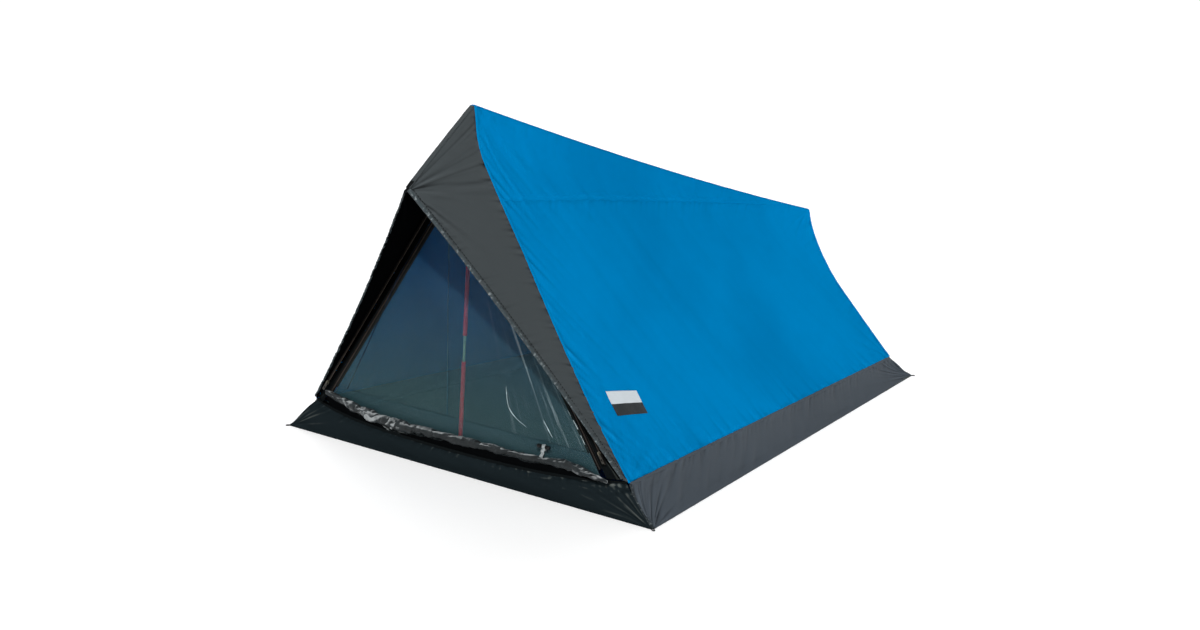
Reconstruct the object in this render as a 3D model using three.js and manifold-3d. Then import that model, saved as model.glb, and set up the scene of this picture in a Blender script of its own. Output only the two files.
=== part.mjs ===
// Two-person ridge tent, pitched: a single-wall canopy on two upright poles, higher in front than behind.
// Millimetres. +X is to the right of somebody looking along +Y, the door faces -Y and +Z is up.
// The origin is the middle of the floor, on the ground.
import * as THREE from 'three';
import { mergeVertices } from 'three/addons/utils/BufferGeometryUtils.js';
import Module from 'manifold-3d';

const wasm = await Module();
wasm.setup();

// ---- driving dimensions ----
const FLOOR_LENGTH = 1900;
const FRONT_WIDTH = 1200;
const REAR_WIDTH = 910;
const FRONT_HEIGHT = 945;
const REAR_HEIGHT = 510;
const RIDGE_SAG = 15;
const CLOTH = 1.6; // modelled thickness of every coated cloth panel
const GAP = 0.3; // clearance between neighbouring pieces
const HEM_LEVEL = 0.8; // height of the middle of the cloth along the ground hems
const FRONT_Y = -FLOOR_LENGTH / 2;
const REAR_Y = FLOOR_LENGTH / 2;

// The seam between the roof and the ground band, at its front and rear ends.
const FRONT_SEAM = new THREE.Vector3(510, FRONT_Y + 19, 92);
const REAR_SEAM = new THREE.Vector3(380, REAR_Y - 48, 61);

// The hood: the front ends of the roof carried forward to a point over the door.
const HOOD_TIP = new THREE.Vector3(4, FRONT_Y - 240, 755);
const HOOD_FOOT = new THREE.Vector3(500, FRONT_Y + 2, 104);
const HEM_SAG = 15;
const HEM_WIDTH = 9;

// The mesh door: a triangle that leans 18 mm forward over its height.
const DOOR_Y = FRONT_Y - 10;
const DOOR_SILL = 150;
const DOOR_HALF_WIDTH = 420;
const DOOR_HEIGHT = 634;
const DOOR_LEAN = Math.atan2(18, DOOR_HEIGHT);
const DOOR_EDGE_ANGLE = Math.atan2(DOOR_HALF_WIDTH, DOOR_HEIGHT);
const DOOR_EDGE_LENGTH = Math.hypot(DOOR_HALF_WIDTH, DOOR_HEIGHT);
const ZIP_WIDTH = 12;
const STORM_ZIP_OFFSET = 22; // the storm door's zip, outside the mesh door's zip
const STRIP_FOOT = 62; // lowest edge of the fixed mesh below the door, at its middle
const STRIP_RISE = 38; // its ends stand this much higher, clear of the sill

const SILL_TOP = 72;
const SILL_RISE = 20; // the sill's ends stand this much higher than its middle

const POLE_RADIUS = 5.5;
const POLE_BORE = 3.8;
const ROD_RADIUS = 3.5;

// ---- colours and finishes ----
const FINISH = {
  roofBlue: { color: 0x0277b4, roughness: 0.62, metalness: 0 },
  hoodGrey: { color: 0x424a4d, roughness: 0.66, metalness: 0 },
  bandGrey: { color: 0x4a535b, roughness: 0.66, metalness: 0 },
  sillGrey: { color: 0x1f2629, roughness: 0.7, metalness: 0 },
  darkCloth: { color: 0x15191b, roughness: 0.75, metalness: 0 },
  groundsheet: { color: 0x3c4145, roughness: 0.5, metalness: 0 },
  mesh: { color: 0x2d4650, roughness: 0.8, metalness: 0, transparent: true, opacity: 0.6 },
  webbing: { color: 0x101214, roughness: 0.85, metalness: 0 },
  paleWebbing: { color: 0xb9bcbd, roughness: 0.8, metalness: 0 },
  zip: { color: 0x2b2523, roughness: 0.6, metalness: 0 },
  sliderMetal: { color: 0x9a9c9e, roughness: 0.35, metalness: 0.9 },
  poleRed: { color: 0xc42a33, roughness: 0.35, metalness: 0 },
  rod: { color: 0x6f9a86, roughness: 0.4, metalness: 0 },
  blackPlastic: { color: 0x0e0f10, roughness: 0.55, metalness: 0 },
  patch: { color: 0xc9d0d4, roughness: 0.7, metalness: 0 },
};

const tent = new THREE.Group();
tent.name = 'ridge_tent';

/** Adds one piece, with a material of its own, to a parent. */
function addPiece(parent, name, geometry, finish) {
  const mesh = new THREE.Mesh(geometry, new THREE.MeshStandardMaterial(FINISH[finish]));
  mesh.name = name;
  parent.add(mesh);
  return mesh;
}

// ---- solids ----

/** The direction in which a surface at(u, v) faces: u crossed with v. */
function facing(at, u, v) {
  const step = 0.001;
  const alongU = at(Math.min(u + step, 1), v).sub(at(Math.max(u - step, 0), v));
  const alongV = at(u, Math.min(v + step, 1)).sub(at(u, Math.max(v - step, 0)));
  return alongU.cross(alongV).normalize();
}

/** A cloth panel: a slab bent so that its middle follows at(u, v), with u and v from 0 to 1. */
function clothPanel(at, columns, rows, thickness = CLOTH) {
  const geometry = new THREE.BoxGeometry(1, 1, 1, columns, rows, 1);
  const position = geometry.attributes.position;
  for (let i = 0; i < position.count; i += 1) {
    const u = position.getX(i) + 0.5;
    const v = position.getY(i) + 0.5;
    const point = at(u, v);
    point.addScaledVector(facing(at, u, v), position.getZ(i) * thickness);
    position.setXYZ(i, point.x, point.y, point.z);
  }
  geometry.computeVertexNormals();
  return geometry;
}

/** The same surface on the other side of the tent, still facing out. */
function mirrored(at) {
  return (u, v) => {
    const point = at(1 - u, v);
    point.x = -point.x;
    return point;
  };
}

/** Adds the right and left copies of a cloth panel. */
function addPanelPair(name, at, columns, rows, finish, thickness = CLOTH) {
  addPiece(tent, `${name}_right`, clothPanel(at, columns, rows, thickness), finish);
  addPiece(tent, `${name}_left`, clothPanel(mirrored(at), columns, rows, thickness), finish);
}

/** A flat plate: an outline, with any holes, pushed along +Z from z = 0. */
function plate(outline, thickness, holes = []) {
  const shape = new THREE.Shape(outline);
  shape.holes = holes.map((hole) => new THREE.Path(hole));
  return new THREE.ExtrudeGeometry(shape, { depth: thickness, bevelEnabled: false, curveSegments: 6 });
}

/** A solid turned about Y from [radius, height] pairs. */
function turned(pairs, segments = 16) {
  return new THREE.LatheGeometry(pairs.map(([radius, height]) => new THREE.Vector2(radius, height)), segments);
}

/** A tube wall turned about Y: a profile that closes on itself. */
function turnedTube(outer, bore, low, high) {
  return turned([[bore, low], [outer, low], [outer, high], [bore, high], [bore, low]]);
}

function box(width, depth, height) {
  return new THREE.BoxGeometry(width, depth, height);
}

/** The outline of a rectangle with its corners cut off, about (0, 0). */
function cutRectangle(width, height, corner) {
  const x = width / 2;
  const y = height / 2;
  return [
    [x - corner, -y], [x, corner - y], [x, y - corner], [x - corner, y],
    [corner - x, y], [-x, y - corner], [-x, corner - y], [corner - x, -y],
  ].map(([px, py]) => new THREE.Vector2(px, py));
}

/** Joins closed solids into one. */
function joined(...geometries) {
  const solids = geometries.map((geometry) => {
    const bare = geometry.clone();
    bare.deleteAttribute('normal');
    bare.deleteAttribute('uv');
    const merged = mergeVertices(bare);
    return new wasm.Manifold(new wasm.Mesh({
      numProp: 3,
      vertProperties: new Float32Array(merged.attributes.position.array),
      triVerts: new Uint32Array(merged.index.array),
    }));
  });
  const mesh = solids.reduce((whole, solid) => whole.add(solid)).getMesh();
  const geometry = new THREE.BufferGeometry();
  geometry.setAttribute('position', new THREE.BufferAttribute(mesh.vertProperties, 3));
  geometry.setIndex(new THREE.BufferAttribute(mesh.triVerts, 1));
  geometry.computeVertexNormals();
  return geometry;
}

// ---- the curves that the panels hang between ----

function curveThrough(points) {
  return new THREE.CatmullRomCurve3(points.map(([x, y, z]) => new THREE.Vector3(x, y, z)));
}

/** Depth of the front gable seam at a height. */
function frontSeamY(z) {
  const drop = (FRONT_HEIGHT - z) / (FRONT_HEIGHT - FRONT_SEAM.z);
  return FRONT_Y + drop * (FRONT_SEAM.y - FRONT_Y);
}

/** Depth of the rear gable seam at a height. */
function rearSeamY(z) {
  const drop = (REAR_HEIGHT - z) / (REAR_HEIGHT - REAR_SEAM.z);
  return REAR_Y + drop * (REAR_SEAM.y - REAR_Y);
}

// Both gable edges fall steeply from the ridge and flare towards the ground, as tensioned cloth does.
const frontEdge = curveThrough([
  [6, 945], [15, 846], [62, 765], [167, 606], [273, 435], [402, 238], [FRONT_SEAM.x, FRONT_SEAM.z],
].map(([x, z]) => [x, frontSeamY(z), z]));
const rearEdge = curveThrough([
  [6, 510], [36, 435], [122, 310], [236, 196], [REAR_SEAM.x, REAR_SEAM.z],
].map(([x, z]) => [x, rearSeamY(z), z]));

/** Half the gable's width at a height, on one of the two edges. */
function halfWidthAt(edge, z) {
  let low = 0;
  let high = 1;
  for (let i = 0; i < 30; i += 1) {
    const middle = (low + high) / 2;
    if (edge.getPointAt(middle).z > z) {
      low = middle;
    } else {
      high = middle;
    }
  }
  return edge.getPointAt(low).x;
}

/** The right roof cloth: v runs from the ridge to the ground band, u from front to rear. */
function roof(v, u) {
  const front = frontEdge.getPointAt(v);
  const rear = rearEdge.getPointAt(v);
  front.y += 1;
  const point = front.lerp(rear, u);
  point.z -= RIDGE_SAG * 4 * u * (1 - u) * (1 - v);
  return point;
}

/** The hood's hem, from the tip over the door down to the corner. */
function hem(v) {
  const point = HOOD_TIP.clone().lerp(HOOD_FOOT, v);
  point.y += HEM_SAG * 4 * v * (1 - v);
  return point;
}

/** The right hood cloth: a point at a distance behind the hem, at v from top to bottom. */
function hoodAt(v, distance) {
  const edge = hem(v);
  const seam = frontEdge.getPointAt(v);
  seam.y -= 1.2;
  const reach = distance / edge.distanceTo(seam);
  const point = edge.lerp(seam, reach);
  point.z += 6 * 4 * reach * (1 - reach) * (1 - v) ** 3;
  return point;
}

function hoodReach(v) {
  return hem(v).distanceTo(frontEdge.getPointAt(v));
}

/** The right ground band: v runs from the roof seam down to the ground, u from front to rear. */
function band(v, u) {
  const top = new THREE.Vector3(FRONT_SEAM.x + 2, FRONT_SEAM.y + 2, FRONT_SEAM.z - 2.5);
  top.lerp(new THREE.Vector3(REAR_SEAM.x + 2, REAR_SEAM.y - 1, REAR_SEAM.z - 2.5), u);
  const foot = new THREE.Vector3(FRONT_WIDTH / 2 - 4, FRONT_Y + 6, HEM_LEVEL);
  foot.lerp(new THREE.Vector3(REAR_WIDTH / 2 - 4, REAR_Y - 6, HEM_LEVEL), u);
  const point = top.lerp(foot, v);
  const hollow = 9 * 4 * v * (1 - v);
  point.x -= hollow * 0.7;
  point.z -= hollow * 0.7;
  return point;
}

// ---- canopy ----
addPanelPair('roof', (u, v) => roof(1 - v, u), 18, 10, 'roofBlue');
addPanelPair('hood', (u, v) => {
  const down = 1 - v;
  return hoodAt(down, THREE.MathUtils.lerp(HEM_WIDTH + GAP, hoodReach(down) - 1, u));
}, 5, 14, 'hoodGrey');
addPanelPair('hood_hem', (u, v) => hoodAt(1 - v, u * HEM_WIDTH), 1, 14, 'hoodGrey', 2.2);
addPanelPair('ground_band', (u, v) => band(1 - v, u), 10, 4, 'bandGrey');

/** The tape that binds the two roof panels along the ridge. */
function ridgeTape(u, v) {
  const point = roof(0, v);
  point.x = (u - 0.5) * 8.6;
  point.z += 1.2;
  return point;
}
addPiece(tent, 'ridge_tape', clothPanel(ridgeTape, 1, 12, 2.4), 'roofBlue');

/** The tape that binds the two hood panels from the front apex to the hood's tip. */
function hoodRidgeTape(u, v) {
  const point = hoodAt(0, THREE.MathUtils.lerp(HEM_WIDTH, hoodReach(0) - 4, v));
  point.x = (u - 0.5) * 5.6;
  point.z += 1;
  return point;
}
addPiece(tent, 'hood_ridge_tape', clothPanel(hoodRidgeTape, 1, 6, 2), 'hoodGrey');

// ---- front wall ----

/** Half the mesh door's width at a height, carried on past its sill. */
function doorEdgeX(z) {
  return DOOR_HALF_WIDTH * (DOOR_SILL + DOOR_HEIGHT - z) / DOOR_HEIGHT;
}

function doorPlaneY(z) {
  return DOOR_Y - (z - DOOR_SILL) * Math.tan(DOOR_LEAN);
}

/** The right jamb: cloth from the door's zip out to the gable seam. */
function jamb(u, v) {
  const z = THREE.MathUtils.lerp(98, 850, v);
  const inner = new THREE.Vector3(Math.max(doorEdgeX(z) + 8, 4), doorPlaneY(z), z);
  const outer = new THREE.Vector3(halfWidthAt(frontEdge, z) - 3.5, frontSeamY(z), z);
  return inner.lerp(outer, u);
}
addPanelPair('door_jamb', jamb, 2, 18, 'darkCloth');

/** The sill: a strip across the front, upright on the ground edge and bellied forward. */
function sill(u, v) {
  const across = 2 * u - 1;
  const foot = new THREE.Vector3(across * (FRONT_WIDTH / 2 - 7), FRONT_Y, HEM_LEVEL / 2);
  const top = new THREE.Vector3(across * 504, FRONT_Y - 35 + 50 * across ** 4, SILL_TOP + SILL_RISE * across ** 2);
  return foot.lerp(top, v);
}
addPiece(tent, 'front_sill', clothPanel(sill, 20, 3), 'sillGrey');

/** The fixed mesh between the door's fold line and the floor behind the sill. */
function lowerMesh(u, v) {
  const across = 2 * u - 1;
  const z = THREE.MathUtils.lerp(STRIP_FOOT + STRIP_RISE * across ** 4, DOOR_SILL - 1, v);
  return new THREE.Vector3(across * (doorEdgeX(z) - 9), doorPlaneY(z), z);
}
addPiece(tent, 'mesh_strip', clothPanel(lowerMesh, 8, 2), 'mesh');

// The door's own plane: X to the right, Y up the door and Z straight out in front of it.
const doorPlane = new THREE.Group();
doorPlane.position.set(0, DOOR_Y, DOOR_SILL);
doorPlane.rotation.x = Math.PI / 2 + DOOR_LEAN;
tent.add(doorPlane);

const doorInset = (ZIP_WIDTH / 2 + 0.5) / Math.cos(DOOR_EDGE_ANGLE);
const doorTop = DOOR_HEIGHT * (1 - (doorInset + 3) / DOOR_HALF_WIDTH);
const meshDoor = addPiece(doorPlane, 'mesh_door', plate([
  new THREE.Vector2(DOOR_HALF_WIDTH - doorInset, 0.4),
  new THREE.Vector2(3, doorTop),
  new THREE.Vector2(-3, doorTop),
  new THREE.Vector2(doorInset - DOOR_HALF_WIDTH, 0.4),
], CLOTH), 'mesh');
meshDoor.position.z = -CLOTH / 2;

/** The body of a zip slider, facing +Z, with the arch that holds its pull tab. */
function sliderBody() {
  const base = plate(cutRectangle(9, 13, 2.4), 2.2);
  const arch = box(2.4, 8, 1.2);
  arch.translate(0, 0, 5);
  const lowerLeg = box(2.4, 1, 3.6);
  lowerLeg.translate(0, -3.5, 3.4);
  const upperLeg = box(2.4, 1, 3.6);
  upperLeg.translate(0, 3.5, 3.4);
  return joined(base, arch, lowerLeg, upperLeg);
}

/** A pull tab about its pivot: its end bar passes under the slider's arch. */
function pullTab() {
  const outline = cutRectangle(7, 26, 1.4);
  outline.forEach((point) => {
    point.y -= 12.4;
  });
  const slot = cutRectangle(4, 4.6, 0.3);
  slot.forEach((point) => {
    point.y -= 2.9;
  });
  const grip = cutRectangle(3, 7, 1);
  grip.forEach((point) => {
    point.y -= 16;
  });
  const geometry = plate(outline, 1.2, [slot, grip]);
  geometry.translate(0, 0, -0.6);
  return geometry;
}

const TAB_PIVOT_HEIGHT = 3.3; // above the slider's back

/** A slider and its pull tab, at a height along a zip and at a lift in front of it. */
function addSlider(parent, name, across, along, lift) {
  const slider = addPiece(parent, `${name}_slider`, sliderBody(), 'sliderMetal');
  slider.position.set(across, along, lift);
  const tab = addPiece(parent, `${name}_pull_tab`, pullTab(), 'sliderMetal');
  tab.position.set(across, along, lift + TAB_PIVOT_HEIGHT);
}

/** Both zips on one side of the door, with their sliders: side is 1 for right and -1 for left. */
function addZips(side, label) {
  const edge = new THREE.Group();
  edge.position.x = side * DOOR_HALF_WIDTH;
  edge.rotation.z = side * DOOR_EDGE_ANGLE;
  doorPlane.add(edge);
  const meshZipLength = DOOR_EDGE_LENGTH - 20;
  const meshZip = box(ZIP_WIDTH, meshZipLength + 40, 1.6);
  meshZip.translate(0, meshZipLength / 2 - 20, 0);
  addPiece(edge, `mesh_zip_${label}`, meshZip, 'zip');
  const stormZip = box(9, DOOR_EDGE_LENGTH + 10, 1.2);
  stormZip.translate(side * STORM_ZIP_OFFSET, DOOR_EDGE_LENGTH / 2 - 30, 2.4);
  addPiece(edge, `storm_zip_${label}`, stormZip, 'zip');
  addSlider(edge, `mesh_zip_${label}`, 0, DOOR_EDGE_LENGTH - 45, 1.2);
  addSlider(edge, `storm_zip_${label}`, side * STORM_ZIP_OFFSET, -6, 3.4);
}
addZips(1, 'right');
addZips(-1, 'left');

// ---- storm door, let down and bunched along the sill ----
const bunchPath = curveThrough([
  [-414, -971, 124], [-280, -973, 103], [-100, -973, 95], [100, -973, 96], [280, -973, 102], [414, -971, 116],
]);
const bunchSection = new THREE.Shape();
bunchSection.absellipse(0, 0, 9, 20, 0, 2 * Math.PI);
addPiece(tent, 'storm_door_bunch', new THREE.ExtrudeGeometry(bunchSection, {
  steps: 24, extrudePath: bunchPath, curveSegments: 5, bevelEnabled: false,
}), 'darkCloth');

const TOGGLE = new THREE.Vector3(284, -974, 142);
const toggleBar = turned([[0, -19], [4, -19], [5, -17], [5, -8], [3, -7], [3, 7], [5, 8], [5, 17], [4, 19], [0, 19]], 12);
const toggle = addPiece(tent, 'storm_toggle', toggleBar, 'blackPlastic');
toggle.rotation.z = -Math.PI / 2;
toggle.position.copy(TOGGLE);

/** The webbing that holds the toggle by its waist and runs down into the bunched door. */
function toggleStrap() {
  const outline = new THREE.Shape();
  outline.absarc(0, 0, 4.7, -0.3 * Math.PI, 1.3 * Math.PI, false);
  outline.lineTo(-2, -16);
  outline.lineTo(2, -16);
  const eye = new THREE.Path();
  eye.absarc(0, 0, 3.4, 0, 2 * Math.PI, true);
  outline.holes.push(eye);
  const geometry = new THREE.ExtrudeGeometry(outline, { depth: 12, bevelEnabled: false, curveSegments: 10 });
  geometry.translate(0, 0, -6);
  return geometry;
}
const strap = addPiece(tent, 'toggle_strap', toggleStrap(), 'paleWebbing');
strap.rotation.set(Math.PI / 2, Math.PI / 2, 0);
strap.position.copy(TOGGLE);

// ---- rear wall ----
const REAR_TOP = 490;
const VENT = { low: 292, high: 392, lowHalf: 62, highHalf: 22 };

/** Outline points of the rear wall on one side, from its foot to its top. */
function rearSide(side) {
  const points = [];
  for (let i = 0; i <= 8; i += 1) {
    const z = THREE.MathUtils.lerp(REAR_SEAM.z + 4, REAR_TOP, i / 8);
    points.push(new THREE.Vector2(side * (halfWidthAt(rearEdge, z) - 2.5), z));
  }
  return points;
}

/** The trapezium of the vent, grown by a margin all round. */
function ventOutline(margin) {
  return [
    new THREE.Vector2(-VENT.lowHalf - margin, VENT.low - margin),
    new THREE.Vector2(VENT.lowHalf + margin, VENT.low - margin),
    new THREE.Vector2(VENT.highHalf + margin, VENT.high + margin),
    new THREE.Vector2(-VENT.highHalf - margin, VENT.high + margin),
  ];
}

// The rear wall's own plane: X to the right and Y up the wall, with Z facing in towards the tent.
const rearLean = Math.atan2(REAR_Y - REAR_SEAM.y, REAR_HEIGHT - REAR_SEAM.z);
const rearPlane = new THREE.Group();
rearPlane.position.set(0, rearSeamY(0), 0);
rearPlane.rotation.x = Math.PI / 2 - rearLean;
tent.add(rearPlane);
const wallStretch = 1 / Math.cos(rearLean);

/** A plate in the rear wall's plane, with its outer face at a distance outside the wall's middle. */
function rearPlate(name, outline, holes, thickness, outward, finish) {
  const stretch = (points) => points.map((point) => new THREE.Vector2(point.x, point.y * wallStretch));
  const mesh = addPiece(rearPlane, name, plate(stretch(outline), thickness, holes.map(stretch)), finish);
  mesh.position.z = -outward;
}
const rearOutline = [...rearSide(1), ...rearSide(-1).reverse()];
rearPlate('rear_wall', rearOutline, [ventOutline(0)], CLOTH, CLOTH / 2, 'hoodGrey');
rearPlate('vent_mesh', ventOutline(-0.5), [], CLOTH, CLOTH / 2, 'mesh');
rearPlate('vent_flap', ventOutline(12), [], CLOTH, CLOTH * 1.5 + 1, 'bandGrey');

/** The band below the rear wall, flaring back to the ground edge. */
function rearBand(u, v) {
  const across = 1 - 2 * u;
  const foot = new THREE.Vector3(across * (REAR_WIDTH / 2 - 7), REAR_Y, HEM_LEVEL);
  const top = new THREE.Vector3(across * (REAR_SEAM.x - 4), REAR_SEAM.y, REAR_SEAM.z + 1);
  const point = foot.lerp(top, v);
  point.z -= 5 * 4 * v * (1 - v);
  return point;
}
addPiece(tent, 'rear_band', clothPanel(rearBand, 10, 4), 'bandGrey');

// ---- floor ----
const FLOOR_INSET = 16; // from the ground line of the bands to the edge of the groundsheet
const FLOOR_FRONT = FRONT_Y + 2;
const FLOOR_REAR = REAR_Y - FLOOR_INSET;
const floorOutline = [
  new THREE.Vector2(FRONT_WIDTH / 2 - FLOOR_INSET, FLOOR_FRONT),
  new THREE.Vector2(REAR_WIDTH / 2 - FLOOR_INSET, FLOOR_REAR),
  new THREE.Vector2(FLOOR_INSET - REAR_WIDTH / 2, FLOOR_REAR),
  new THREE.Vector2(FLOOR_INSET - FRONT_WIDTH / 2, FLOOR_FRONT),
];
const FLOOR_THICKNESS = 2;
addPiece(tent, 'groundsheet', plate(floorOutline, FLOOR_THICKNESS), 'groundsheet');

// ---- poles ----
const PATCH_THICKNESS = 1;
const FOOT_LEVEL = FLOOR_THICKNESS + PATCH_THICKNESS + 2 * GAP;

/** One pole: rubber foot, two tubes with a bare rod between them, a top plug and the pocket over it. */
function addPole(name, y, lean, jointLow, jointHigh, top) {
  const footRadius = 7.2;
  const pole = new THREE.Group();
  pole.position.set(0, y, footRadius * Math.sin(lean));
  pole.rotation.x = Math.PI / 2 - lean;
  tent.add(pole);
  const tubeFoot = FOOT_LEVEL + 3.3;
  const tubeTop = top - 22;
  addPiece(pole, `${name}_pole_foot`, turned([
    [0, FOOT_LEVEL], [footRadius, FOOT_LEVEL], [footRadius, FOOT_LEVEL + 14],
    [POLE_RADIUS + GAP, FOOT_LEVEL + 14], [POLE_RADIUS + GAP, FOOT_LEVEL + 3], [0, FOOT_LEVEL + 3],
  ]), 'blackPlastic');
  addPiece(pole, `${name}_pole_lower_tube`, turnedTube(POLE_RADIUS, POLE_BORE, tubeFoot, jointLow), 'poleRed');
  addPiece(pole, `${name}_pole_upper_tube`, turnedTube(POLE_RADIUS, POLE_BORE, jointHigh, tubeTop), 'poleRed');
  const rodInsertion = 50;
  addPiece(pole, `${name}_pole_rod`, turned([
    [0, jointLow - rodInsertion], [ROD_RADIUS, jointLow - rodInsertion],
    [ROD_RADIUS, jointHigh + rodInsertion], [0, jointHigh + rodInsertion],
  ]), 'rod');
  addPiece(pole, `${name}_pole_plug`, turned([
    [0, tubeTop - 16], [ROD_RADIUS, tubeTop - 16], [ROD_RADIUS, tubeTop + GAP], [POLE_RADIUS, tubeTop + GAP],
    [POLE_RADIUS, tubeTop + 3], [2.6, tubeTop + 5], [2.6, top - 3], [1.2, top - 1], [0, top - 1],
  ]), 'blackPlastic');
  addPiece(pole, `${name}_pole_pocket`, turned([
    [2.6 + GAP, top - 12], [4, top - 12], [4, top + 1.5], [0, top + 1.5], [0, top], [2.6 + GAP, top - 2],
    [2.6 + GAP, top - 12],
  ]), 'webbing');
  const patch = addPiece(tent, `${name}_foot_patch`, plate(cutRectangle(70, 34, 6), PATCH_THICKNESS), 'webbing');
  patch.position.set(0, y - Math.sign(y) * 12, FLOOR_THICKNESS + GAP);
}
addPole('front', FRONT_Y + 9, 0, 297, 365, 934);
addPole('rear', REAR_Y - 68, rearLean, 215, 245, 498);

// ---- webbing loops ----

/** A flat loop of webbing: a plate with a hole that a peg or a line goes through. */
function webbingLoop(length, width, hole, thickness) {
  const outline = cutRectangle(width, length, 3);
  return plate(outline, thickness, [cutRectangle(hole, hole, 1)]);
}

for (const [label, side, end, halfWidth, y] of [
  ['front_right', 1, -1, FRONT_WIDTH / 2, FRONT_Y],
  ['front_left', -1, -1, FRONT_WIDTH / 2, FRONT_Y],
  ['rear_right', 1, 1, REAR_WIDTH / 2, REAR_Y],
  ['rear_left', -1, 1, REAR_WIDTH / 2, REAR_Y],
]) {
  const loop = addPiece(tent, `peg_loop_${label}`, webbingLoop(14, 13, 8, 2), 'webbing');
  loop.rotation.z = side * end * -Math.PI / 4;
  loop.position.set(side * (halfWidth + 3.2), y + end * 6, 0);
}

/** A line loop standing in the middle plane of the tent. */
function addGuyLoop(name, y, z) {
  const loop = addPiece(tent, name, webbingLoop(14, 12, 7.5, 2.4), 'webbing');
  loop.rotation.set(Math.PI / 2, Math.PI / 2, 0);
  loop.position.set(-1.2, y, z);
}
addGuyLoop('hood_guy_loop', HOOD_TIP.y - 8, HOOD_TIP.z - 3);
addGuyLoop('rear_guy_loop', REAR_Y + 8, REAR_HEIGHT - 8);

// ---- plain label patch on the right roof panel ----
const PATCH_LIFT = 2.4; // from the middle of the roof cloth to the middle of the patch
function labelPatch(u, v) {
  const at = (along, up) => roof(1 - up, along);
  const along = THREE.MathUtils.lerp(0.052, 0.122, u);
  const up = THREE.MathUtils.lerp(0.156, 0.204, v);
  return at(along, up).addScaledVector(facing(at, along, up), PATCH_LIFT);
}
addPiece(tent, 'label_patch', clothPanel(labelPatch, 3, 1, 0.6), 'patch');

export default tent;
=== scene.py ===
import math

import bpy
import numpy as np
from mathutils import Matrix, Vector


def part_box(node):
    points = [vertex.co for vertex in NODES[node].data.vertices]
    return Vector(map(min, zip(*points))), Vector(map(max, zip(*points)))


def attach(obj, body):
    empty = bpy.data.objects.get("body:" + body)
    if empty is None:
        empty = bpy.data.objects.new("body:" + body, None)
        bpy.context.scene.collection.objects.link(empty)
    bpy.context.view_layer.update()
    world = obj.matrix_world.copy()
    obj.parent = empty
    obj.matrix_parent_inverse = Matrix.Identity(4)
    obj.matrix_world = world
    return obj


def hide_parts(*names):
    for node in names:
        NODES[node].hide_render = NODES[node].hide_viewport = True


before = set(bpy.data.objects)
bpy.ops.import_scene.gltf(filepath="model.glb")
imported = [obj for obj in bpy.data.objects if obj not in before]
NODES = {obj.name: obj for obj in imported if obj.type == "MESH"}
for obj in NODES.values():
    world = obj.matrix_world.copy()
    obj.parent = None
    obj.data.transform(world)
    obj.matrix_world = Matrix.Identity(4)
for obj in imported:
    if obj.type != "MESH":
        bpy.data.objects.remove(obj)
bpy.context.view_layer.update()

MM = 0.001
FOLD_REACH = 9 * MM  # folds are hollows and ridges within this distance
CLOTH_THICKNESS = 0.9 * MM
NET_THICKNESS = 0.3 * MM
WEAVE_PITCH = 1.3 * MM

# ---- measuring the frame


def vertices(node):
    """The distinct vertices of a CAD node."""
    co = np.array([v.co for v in NODES[node].data.vertices], float)
    return np.unique(np.round(co, 6), axis=0)


def groups(points, axis, gap):
    """Points split where they leave a gap along an axis."""
    points = points[np.argsort(points[:, axis])]
    breaks = np.nonzero(np.diff(points[:, axis]) > gap)[0] + 1
    return np.split(points, breaks)


def rail(points, axis, gap=4 * MM):
    """The line through the middles of those groups."""
    return np.array([group.mean(0) for group in groups(points, axis, gap)])


def on_rail(points, t):
    """Points on the smooth line through evenly spaced points, for t from 0 to 1."""
    before = 2 * points[0] - points[1]
    after = 2 * points[-1] - points[-2]
    padded = np.vstack([before, points, after])
    x = np.clip(t, 0, 1) * (len(points) - 1)
    i = np.minimum(x.astype(int), len(points) - 2)
    f = (x - i)[..., None]
    a, b, c, d = (padded[i + k] for k in range(4))
    return b + 0.5 * f * (c - a + f * (2 * a - 5 * b + 4 * c - d + f * (3 * (b - c) + d - a)))


def lerp(a, b, t):
    return a + (b - a) * t


def unit(vectors):
    return vectors / np.linalg.norm(vectors, axis=-1, keepdims=True)


def distances(line):
    """How far along a line each of its points lies."""
    return np.concatenate([[0], np.cumsum(np.linalg.norm(np.diff(line, axis=0), axis=1))])


def box_centre(node):
    low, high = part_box(node)
    return np.array((low + high) / 2)


def mirror_of(side):
    """What turns a point on the right of the tent into one on the side named."""
    return np.array([-1 if side == "left" else 1, 1, 1])


EDGE_SEARCH = 60 * MM  # how far from a panel's end its edge vertices may lie


def end_rail(points, rear):
    """The line down the front or rear end of a side panel, from the top."""
    y = points[:, 1]
    at_end = y > y.max() - EDGE_SEARCH if rear else y < y.min() + EDGE_SEARCH
    return rail(points[at_end], 2)[::-1]


def level_rail(node, above=-1, below=1):
    """The line across a node, from left to right, through its vertices between two heights."""
    points = vertices(node)
    return rail(points[(points[:, 2] > above) & (points[:, 2] < below)], 0)


roof_points = vertices("roof_right")
roof_front = roof_points[:, 1].min()
roof_rear = roof_points[:, 1].max()
GABLE, REAR_GABLE = end_rail(roof_points, False), end_rail(roof_points, True)
APEX_FULLNESS = 9 * MM  # how much wider than its CAD line the gable seam stands, a little below the apex
APEX_REACH = 80 * MM  # how far below the apex that is
below_apex = (GABLE[0, 2] - GABLE[:, 2]) / APEX_REACH
GABLE[:, 0] += APEX_FULLNESS * below_apex * np.exp(1 - below_apex)
RIDGE = rail(vertices("ridge_tape"), 1, 20 * MM)
ridge_middle = on_rail(RIDGE, np.array(0.5))[2]
RIDGE_SAG = (RIDGE[0, 2] + RIDGE[-1, 2]) / 2 - ridge_middle


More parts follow.
